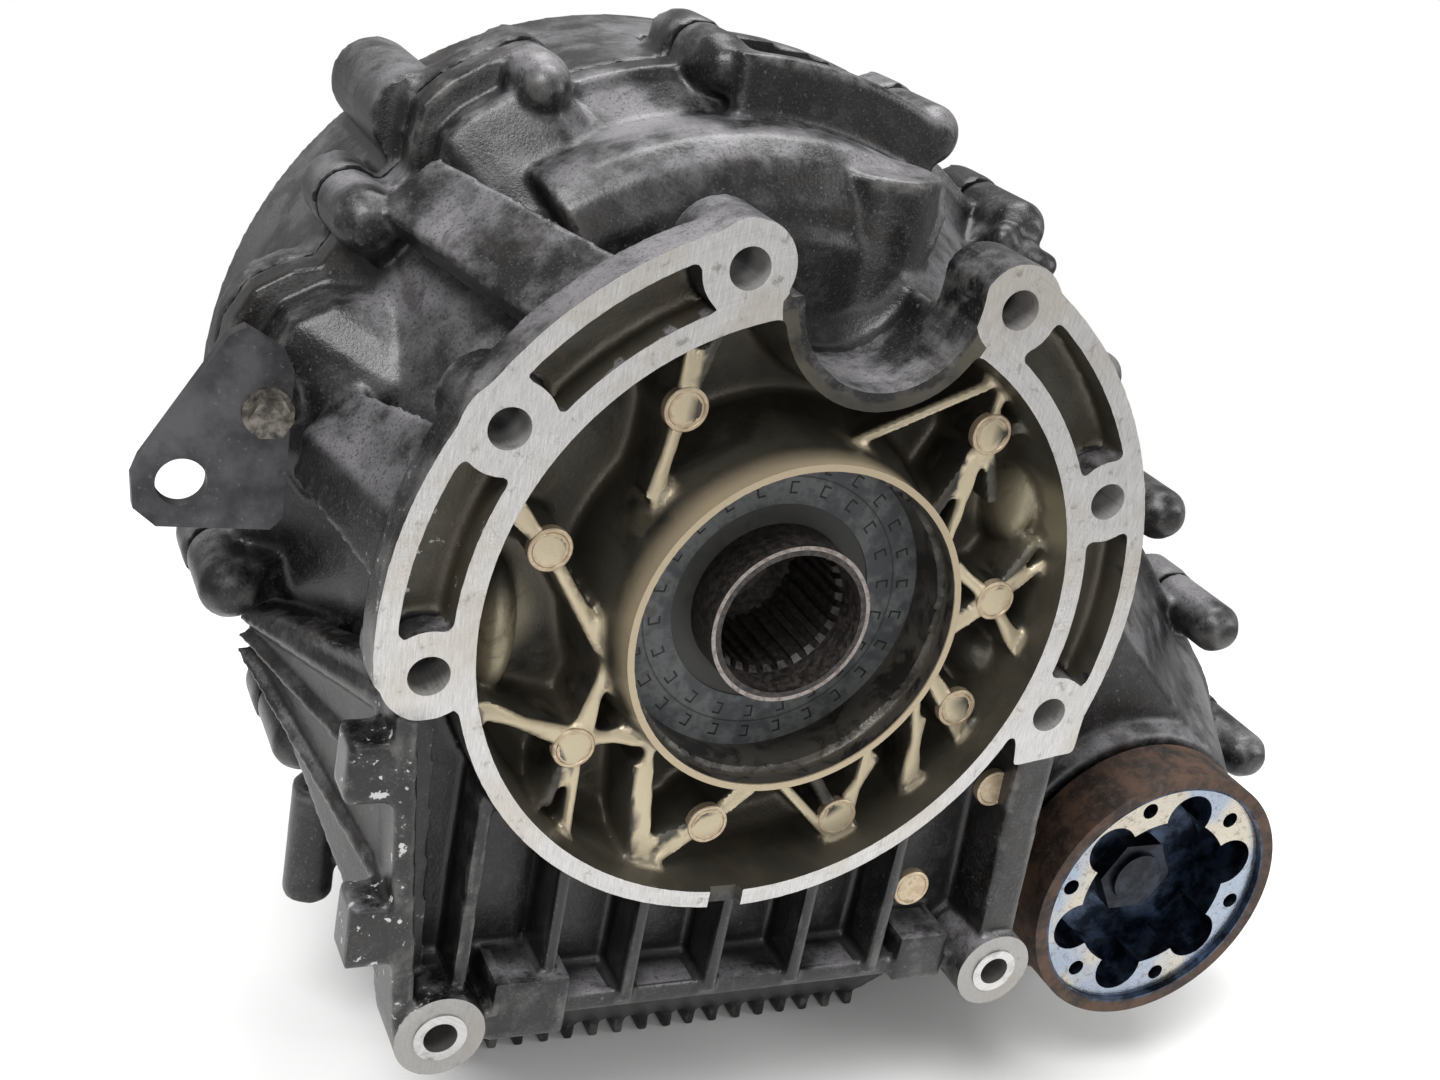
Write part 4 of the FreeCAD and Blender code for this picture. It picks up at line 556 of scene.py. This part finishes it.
# ------------------------------------------------------------------ looks of the castings
def dark_cast(look, dust_and_sheen_share):
    """Colour, roughness and bump height of old oily cast aluminium, with painted shade in its hollows; the
    second argument is its share of grey dust on upward faces, partly a painted sheen of the light from
    above.
    """
    broad = look.noise(14.0, 5.0, 0.6, 0.3)
    patch = look.noise(60.0, 6.0, 0.65)
    grain = look.noise(900.0, 3.0, 0.7)
    edge = look.stored("edge")
    tone = look.plus(look.times(broad, 0.65), look.times(patch, 0.35))
    colour = look.mix(look.step(tone, 0.42, 0.68), (0.0042, 0.0040, 0.0042), (0.0165, 0.0160, 0.0160))
    # grey dust on upward faces, partly a painted sheen of the light from above
    dust_and_sheen = look.times(look.step(look.nz, 0.08, 0.92), look.step(tone, 0.42, 0.60))
    colour = look.over(colour, dust_and_sheen, 0.85 * dust_and_sheen_share, (0.215, 0.208, 0.218))
    streak = look.step(look.noise(120.0, 6.0, 0.7, 0.6), 0.50, 0.62)
    colour = look.over(colour, streak, 0.25, (0.060, 0.057, 0.059))
    fleck = look.noise(1000.0, 3.0, 0.65)
    colour = look.over(colour, look.step(fleck, 0.57, 0.68), 0.34, (0.115, 0.110, 0.108))
    colour = look.over(colour, look.step(fleck, 0.46, 0.36), 0.6, (0.004, 0.004, 0.004))
    brown = look.step(look.noise(33.0, 6.0, 0.66, 0.5), 0.54, 0.66)
    colour = look.over(colour, brown, 0.6, (0.012, 0.0095, 0.0075))
    worn = look.times(look.step(edge, 0.30, 0.95), look.step(patch, 0.46, 0.66))
    colour = look.over(colour, worn, 0.5, (0.13, 0.127, 0.122))
    seam = look.within(look.y, SPLIT * MM, 0.55 * MM)
    colour = look.over(colour, seam, 0.9, (0.002, 0.002, 0.002))
    # painted shade: the hollows of the casting are drawn near black
    hollow_shade = look.step(look.times(edge, -1.0), 0.2, 0.8)
    colour = look.over(colour, hollow_shade, 0.8, (0.004, 0.004, 0.004))
    speck = look.step(look.noise(420.0, 2.0, 0.5), 0.70, 0.75)
    colour = look.over(colour, speck, 0.4, (0.13, 0.125, 0.12))
    rough = look.between(look.plus(look.times(patch, 0.6), look.times(grain, 0.4)), 0.20, 0.48)
    height = look.plus(look.times(patch, 0.8), look.times(grain, 0.45))
    return colour, rough, height


def machined(look):
    """Colour, roughness and bump height of milled aluminium with drag lines and dull spots."""
    lines = look.turned_lines(2600.0, 260.0)
    drag = look.vector(look.times(look.x, 2300.0), 0.0, look.times(look.z, 160.0))
    cross = look.noise(1.0, 2.0, 0.6, at=drag)
    both = look.plus(look.times(lines, 0.35), look.times(cross, 0.65))
    colour = look.mix(look.step(both, 0.25, 0.75), (0.34, 0.335, 0.33), (0.56, 0.55, 0.54))
    tan = look.step(look.noise(24.0, 5.0, 0.65, 0.4), 0.46, 0.62)
    colour = look.over(colour, tan, 0.4, (0.36, 0.315, 0.25))
    stain = look.step(look.noise(160.0, 5.0, 0.7), 0.56, 0.70)
    colour = look.over(colour, stain, 0.6, (0.13, 0.115, 0.095))
    return colour, look.between(both, 0.22, 0.40), both


look = Look("front_cast")
colour, rough, height = dark_cast(look, 1.0)
ragged = look.minus(look.noise(260.0, 4.0, 0.6), 0.5)
clean = look.step(look.plus(look.stored("clean"), look.times(ragged, 0.5)), 0.4, 0.62)
film = look.noise(26.0, 5.0, 0.6, 0.6)
bare = look.mix(look.step(film, 0.36, 0.64), (0.016, 0.015, 0.0125), (0.072, 0.067, 0.053))
wall = look.step(look.radius(), 90 * MM, 99 * MM)
bare = look.over(bare, wall, 0.4, (0.095, 0.087, 0.066))
bulge = look.most(look.step(look.radius(*metres(*RIGHT_BULGE)), 17 * MM, 7 * MM),
                  look.step(look.radius(*metres(*LEFT_BULGE)), 20 * MM, 8 * MM))
bare = look.over(bare, bulge, 0.6, (0.34, 0.30, 0.20))
drip = look.noise(70.0, 6.0, 0.65, 0.8)
bare = look.over(bare, look.step(drip, 0.54, 0.68), 0.8, (0.075, 0.06, 0.04))
middle = look.step(look.radius(), 92 * MM, 60 * MM)
right_side = look.step(look.x, -0.06, 0.05)
oily = look.times(middle, look.between(right_side, 0.45, 0.95))
oily = look.step(look.plus(oily, look.times(look.minus(film, 0.5), 1.6)), 0.25, 0.75)
bare = look.over(bare, oily, 0.85, (0.035, 0.032, 0.024))
raised = look.times(look.step(look.y, 19 * MM, 12 * MM), look.step(look.ny, -0.15, -0.55))
bare = look.over(bare, look.times(look.stored("rib"), raised), 0.85, (0.50, 0.43, 0.30))
lip = look.times(look.step(look.radius(), 61 * MM, 56 * MM), look.step(look.y, 6 * MM, -7 * MM))
bare = look.over(bare, lip, 0.85, (0.40, 0.33, 0.225))
inner = look.times(look.below(look.radius(), 54.5 * MM), look.above(look.y, -7.2 * MM))
sooty = look.mix(look.step(drip, 0.45, 0.6), (0.055, 0.050, 0.043), (0.012, 0.011, 0.010))
bare = look.mix(inner, bare, sooty)
hollow_edge = look.step(look.times(look.stored("edge"), -1.0), 0.12, 0.6)
bare = look.over(bare, hollow_edge, 0.65, (0.07, 0.06, 0.045))
colour = look.mix(clean, colour, bare)
rough = look.blend(clean, rough, look.between(drip, 0.28, 0.5))
metal = look.times(clean, 0.45)
# pale paint spots on the left edge, above the lug
paint = look.times(look.step(look.noise(240.0, 4.0, 0.6), 0.63, 0.67), look.step(look.x, -0.093, -0.105),
                   look.step(look.z, 0.06, 0.0), look.step(look.y, 0.03, 0.012))
colour = look.over(colour, paint, 0.8, (0.5, 0.5, 0.5))
# the milled face of the bell, its bores and the worn lower rim of the nose
milled, milled_rough, lines = machined(look)
face = look.times(look.below(look.y, 0.3 * MM), look.below(look.ny, -0.8),
                  look.above(look.radius(), 70 * MM))
notch_rim = look.below(look.radius(*metres(*SADDLE)), 37 * MM)
for hole in (BELL_HOLES[0], BELL_HOLES[3]):
    notch_rim = look.times(notch_rim, look.above(look.radius(*metres(*hole)), 15 * MM))
face = look.times(face, look.minus(1.0, notch_rim))
rim = look.times(look.within(look.radius(), 52.6 * MM, 0.9 * MM), look.below(look.y, -6.8 * MM),
                 look.step(look.z, -0.01, -0.045))
face = look.most(look.most(face, rim), look.step(look.stored("bore"), 0.35, 0.65))
lug_face = look.step(look.z, -0.11, -0.13)
milled = look.over(milled, lug_face, 0.65, (0.17, 0.165, 0.155))
colour = look.mix(face, colour, milled)
rough = look.blend(face, rough, milled_rough)
metal = look.blend(face, metal, 0.55)
deep = look.bump(height, 0.55, 0.0006)
cut_lines = look.bump(look.times(lines, face), 0.12, 0.0001, deep)
look.set(Base_Color=colour, Roughness=rough, Metallic=metal, Normal=cut_lines, Specular_IOR_Level=0.42)
front_mesh.materials.append(look.mat)

look = Look("pad_cast")
wear = look.noise(230.0, 4.0, 0.6)
colour = look.mix(look.step(wear, 0.35, 0.65), (0.36, 0.28, 0.19), (0.50, 0.41, 0.29))
colour = look.over(colour, look.step(wear, 0.58, 0.7), 0.5, (0.10, 0.075, 0.045))
look.set(Base_Color=colour, Roughness=look.between(wear, 0.35, 0.55), Metallic=0.6,
         Normal=look.bump(wear, 0.3, 0.0002))
pad_mesh = round_pads(BELL_PADS + APRON_PADS, 7.0, PAD_FRONT, 3.0)
pad_mesh.materials.append(look.mat)

# ------------------------------------------------------------------ the rear castings
rear_mesh = casting("rear_case", "rear_casting", 2.0 * MM, 3, 120000)
cover_mesh = casting("rear_cover", "cover_casting", 1.5 * MM, 2, 60000)
look = Look("rear_cast")
colour, rough, height = dark_cast(look, 0.8)
look.set(Base_Color=colour, Roughness=rough, Normal=look.bump(height, 0.55, 0.0006),
         Specular_IOR_Level=0.42)
rear_mesh.materials.append(look.mat)
cover_mesh.materials.append(look.mat)


# ------------------------------------------------------------------ finishes for the other nodes
def finish_nodes(mat, *names):
    for name in names:
        mesh = nodes[name].data
        mesh.materials.clear()
        mesh.materials.append(mat)


def turned_steel(name, light, dark, low=0.2, high=0.45, grease=0.3):
    """Lathe-turned steel with stains and oil; low and high bound its roughness."""
    look = Look(name)
    lines = look.turned_lines(2400.0, 200.0)
    colour = look.mix(lines, dark, light)
    stain = look.step(look.noise(55.0, 5.0, 0.65), 0.50, 0.70)
    colour = look.over(colour, stain, 0.6, (0.05, 0.04, 0.03))
    colour, rough = look.grease(colour, look.between(lines, low, high), grease)
    look.set(Base_Color=colour, Roughness=rough, Metallic=0.92, Normal=look.bump(lines, 0.2, 0.0001))
    return look.mat


steel = turned_steel("turned_steel", (0.62, 0.61, 0.60), (0.34, 0.33, 0.33))
dark_steel = turned_steel("gear_steel", (0.36, 0.35, 0.34), (0.17, 0.165, 0.16), grease=0.5)
bearing_steel = turned_steel("bearing_steel", (0.42, 0.43, 0.44), (0.27, 0.28, 0.29), 0.28, 0.5, 0.1)

# the grey disc in the nose, with two rings of square hooks pressed into it; the hooks and a groove are
# pressed in by the bump and drawn near black as painted shade
look = Look("carrier_disc")
lines = look.turned_lines(1800.0, 200.0)
r_mm = look.times(look.radius(), 1000.0)
angle = look.math("ARCTAN2", look.z, look.x)
dents_and_shade = 0.0
for ring, count in ((39.5, 22), (47.0, 26)):
    turn_share = look.math("FRACT", look.times(angle, count / (2 * math.pi)))
    along = look.times(look.minus(turn_share, 0.5), 2 * math.pi * ring / count)
    out = look.minus(r_mm, ring)
    bar = look.times(look.within(along, 1.3, 0.32), look.within(out, 0.0, 2.1))
    arms = look.times(look.within(look.math("ABSOLUTE", out), 1.8, 0.32), look.within(along, 0.2, 1.4))
    dents_and_shade = look.most(dents_and_shade, look.most(bar, arms))
groove = look.within(r_mm, 43.3, 0.3)
dents_and_shade = look.most(dents_and_shade, look.times(groove, 0.6))
dirt = look.noise(120.0, 5.0, 0.65)
colour = look.mix(look.step(dirt, 0.4, 0.62), (0.050, 0.052, 0.055), (0.105, 0.108, 0.11))
colour = look.over(colour, look.step(dirt, 0.58, 0.7), 0.5, (0.03, 0.024, 0.018))
# painted shade: the pressed hooks and the groove are drawn near black
colour = look.mix(dents_and_shade, colour, (0.006, 0.006, 0.006))
look.set(Base_Color=colour, Roughness=look.between(lines, 0.38, 0.6), Metallic=0.35,
         Normal=look.bump(look.minus(lines, look.times(dents_and_shade, 4.0)), 0.3, 0.0002))
disc = look.mat

# the input sleeve: dark pitted bore, paler rim
look = Look("input_steel")
lines = look.turned_lines(2000.0, 200.0)
pitted = look.noise(420.0, 5.0, 0.7)
rim = look.times(look.below(look.ny, -0.8), look.above(look.radius(), 25.6 * MM))
colour = look.mix(look.step(pitted, 0.40, 0.62), (0.010, 0.009, 0.0085), (0.045, 0.038, 0.034))
rim_colour = look.mix(look.step(pitted, 0.42, 0.66), (0.27, 0.245, 0.23), (0.15, 0.115, 0.10))
look.set(Base_Color=look.mix(rim, colour, rim_colour),
         Roughness=look.blend(rim, look.between(pitted, 0.35, 0.65), 0.42),
         Metallic=look.blend(rim, 0.3, 0.7), Normal=look.bump(look.plus(pitted, lines), 0.3, 0.0002))
rusty_bore = look.mat


def patchy(name, noise, steps, dark, light, rough, metal, bump):
    """A finish in patches of two tones; steps and rough are (low, high), bump is (strength, depth)."""
    look = Look(name)
    wear = look.noise(*noise)
    tone = look.step(wear, *steps) if steps else wear
    look.set(Base_Color=look.mix(tone, dark, light), Roughness=look.between(wear, *rough), Metallic=metal,
             Normal=look.bump(wear, *bump))
    return look.mat


bolt_steel = patchy("plated_steel", (200.0, 5.0, 0.65), (0.35, 0.65), (0.05, 0.047, 0.043),
                    (0.24, 0.22, 0.19), (0.3, 0.6), 0.8, (0.4, 0.0003))
rubber = patchy("seal_rubber", (260.0, 4.0, 0.6), None, (0.008, 0.008, 0.008), (0.035, 0.033, 0.03),
                (0.35, 0.7), 0.0, (0.3, 0.0002))
cup_dark = patchy("cup_dark", (150.0, 5.0, 0.65), (0.4, 0.65), (0.005, 0.006, 0.009), (0.025, 0.03, 0.042),
                  (0.3, 0.55), 0.8, (0.3, 0.0002))

look = Look("bracket_steel")
broad = look.noise(40.0, 5.0, 0.6)
fine = look.noise(500.0, 3.0, 0.6)
colour = look.mix(look.step(broad, 0.35, 0.65), (0.022, 0.022, 0.024), (0.085, 0.085, 0.09))
colour = look.over(colour, look.step(fine, 0.62, 0.7), 0.4, (0.2, 0.19, 0.18))
look.set(Base_Color=colour, Roughness=look.between(broad, 0.3, 0.55), Metallic=0.55,
         Normal=look.bump(fine, 0.3, 0.0003))
bracket = look.mat

look = Look("motor_shell")
broad = look.noise(40.0, 5.0, 0.6)
fine = look.noise(420.0, 4.0, 0.6)
look.set(Base_Color=look.mix(look.step(broad, 0.35, 0.65), (0.10, 0.10, 0.10), (0.28, 0.275, 0.27)),
         Roughness=look.between(fine, 0.35, 0.6), Metallic=0.6, Normal=look.bump(fine, 0.4, 0.0003))
shell = look.mat

# the output cup: rust outside, blue heat tint inside, turned front face
look = Look("flange_steel")
r = look.radius(*cup_middle)
lines = look.turned_lines(2400.0, 300.0, *cup_middle)
rust = look.noise(90.0, 6.0, 0.68)
rust_fine = look.noise(420.0, 4.0, 0.7)
outside = look.mix(look.step(rust, 0.36, 0.64), (0.018, 0.012, 0.0095), (0.085, 0.046, 0.029))
outside = look.over(outside, look.step(rust_fine, 0.52, 0.66), 0.5, (0.075, 0.062, 0.055))
blue = look.mix(look.step(rust, 0.4, 0.62), (0.010, 0.013, 0.021), (0.058, 0.080, 0.125))
tinted = look.mix(look.step(look.noise(30.0, 2.0, 0.5), 0.42, 0.58), (0.36, 0.32, 0.24), (0.17, 0.22, 0.30))
bright = look.over(tinted, lines, 0.5, (0.50, 0.50, 0.50))
bright = look.over(bright, look.step(rust_fine, 0.54, 0.66), 0.6, (0.12, 0.095, 0.07))
face = look.times(look.below(look.ny, -0.8), look.below(look.y, 27 * MM), look.below(r, 49.8 * MM))
inside = look.below(r, 50.8 * MM)
colour = look.mix(face, look.mix(inside, outside, blue), bright)
rough = look.blend(inside, look.between(rust, 0.5, 0.85), look.between(rust, 0.22, 0.45))
rough = look.blend(face, rough, look.between(lines, 0.14, 0.38))
metal = look.blend(look.most(inside, face), 0.35, 0.95)
look.set(Base_Color=colour, Roughness=rough, Metallic=metal,
         Normal=look.bump(look.plus(rust, rust_fine), 0.35, 0.0004))
cup_steel = look.mat

finish_nodes(bolt_steel, "case_bolts", "cover_bolts", "bracket_bolt", "drain_plug", "filler_plug",
             "breather")
finish_nodes(steel, "left_lug_bush", "right_lug_bush", "planet_carrier", "shift_rail", "main_shaft",
             "diff_case", "clutch_drum", "ramp_ring", "ramp_plate", "bearing_spacer", "rear_flange_nut")
finish_nodes(cup_dark, "front_output_shaft", "front_flange_nut")
finish_nodes(rusty_bore, "input_shaft")
finish_nodes(disc, "seal_carrier")
finish_nodes(bearing_steel, "input_bearing", "front_output_bearing", "rear_support_bearing",
             "rear_output_bearing")
finish_nodes(rubber, "input_seal", "front_output_seal", "rear_output_seal")
finish_nodes(dark_steel, "ring_gear", "planet_gear_1", "planet_gear_2", "planet_gear_3", "planet_gear_4",
             "planet_pins", "shift_sleeve", "drive_sprocket", "driven_sprocket", "drive_chain",
             "clutch_plates", "actuator_pinion")
finish_nodes(shell, "actuator_motor", "oil_pump", "shift_fork")
finish_nodes(cup_steel, "front_output_flange", "rear_output_flange")
finish_nodes(bracket, "side_bracket")

# ------------------------------------------------------------------ floor, light, background
floor_z = cad_bounds[0][2]
floor_mesh = bpy.data.meshes.new("floor")
floor_corners = [(-9, -9, floor_z), (9, -9, floor_z), (9, 9, floor_z), (-9, 9, floor_z)]
floor_mesh.from_pydata(floor_corners, [], [(0, 1, 2, 3)])
floor = new_object("floor", floor_mesh)
look = Look("pale_floor")
haze = look.noise(3.0, 3.0, 0.5)
look.set(Base_Color=look.mix(haze, (0.90, 0.90, 0.895), (0.96, 0.96, 0.955)), Roughness=0.22)
away_x = look.minus(look.x, 0.05)
away_y = look.minus(look.y, 0.05)
away = look.math("SQRT", look.plus(look.times(away_x, away_x), look.times(away_y, away_y)))
clear = look.tree.nodes.new("ShaderNodeBsdfTransparent")
fade = look.tree.nodes.new("ShaderNodeMixShader")
look.link(look.step(away, 0.42, 0.85), fade.inputs[0])
look.link(look.shader.outputs[0], fade.inputs[1])
look.link(clear.outputs[0], fade.inputs[2])
look.link(fade.outputs[0], look.tree.nodes["Material Output"].inputs["Surface"])
floor_mesh.materials.append(look.mat)


MIDDLE = Vector((0.04, 0.08, -0.02))


def lamp(name, place, size, power):
    """A white rectangular lamp that faces the part's middle."""
    data = bpy.data.lights.new(name, "AREA")
    data.shape = "RECTANGLE"
    data.size, data.size_y = size
    data.energy = power
    obj = new_object(name, data)
    obj.location = place
    obj.rotation_euler = (MIDDLE - Vector(place)).to_track_quat("-Z", "Y").to_euler()


lamp("key", (-0.9, -0.6, 1.5), (0.9, 0.7), 34.0)
lamp("top", (0.3, 0.7, 1.7), (1.4, 1.0), 30.0)
lamp("side", (1.5, -0.8, 0.7), (0.8, 1.1), 15.0)
lamp("front", (-0.3, -1.6, 0.35), (1.2, 0.8), 9.0)

world = bpy.data.worlds.new("studio")
bpy.context.scene.world = world
world.use_nodes = True
tree = world.node_tree
tree.nodes.clear()
path = tree.nodes.new("ShaderNodeLightPath")
mixed = tree.nodes.new("ShaderNodeMixShader")
tree.links.new(path.outputs["Is Camera Ray"], mixed.inputs[0])
# a dimmer white lights the part than the one that the camera sees
for socket, strength in ((1, 0.42), (2, 1.0)):
    sky = tree.nodes.new("ShaderNodeBackground")
    sky.inputs["Color"].default_value = (1.0, 1.0, 1.0, 1.0)
    sky.inputs["Strength"].default_value = strength
    tree.links.new(sky.outputs[0], mixed.inputs[socket])
world_out = tree.nodes.new("ShaderNodeOutputWorld")
tree.links.new(mixed.outputs[0], world_out.inputs["Surface"])
bpy.context.scene.view_settings.view_transform = "Standard"
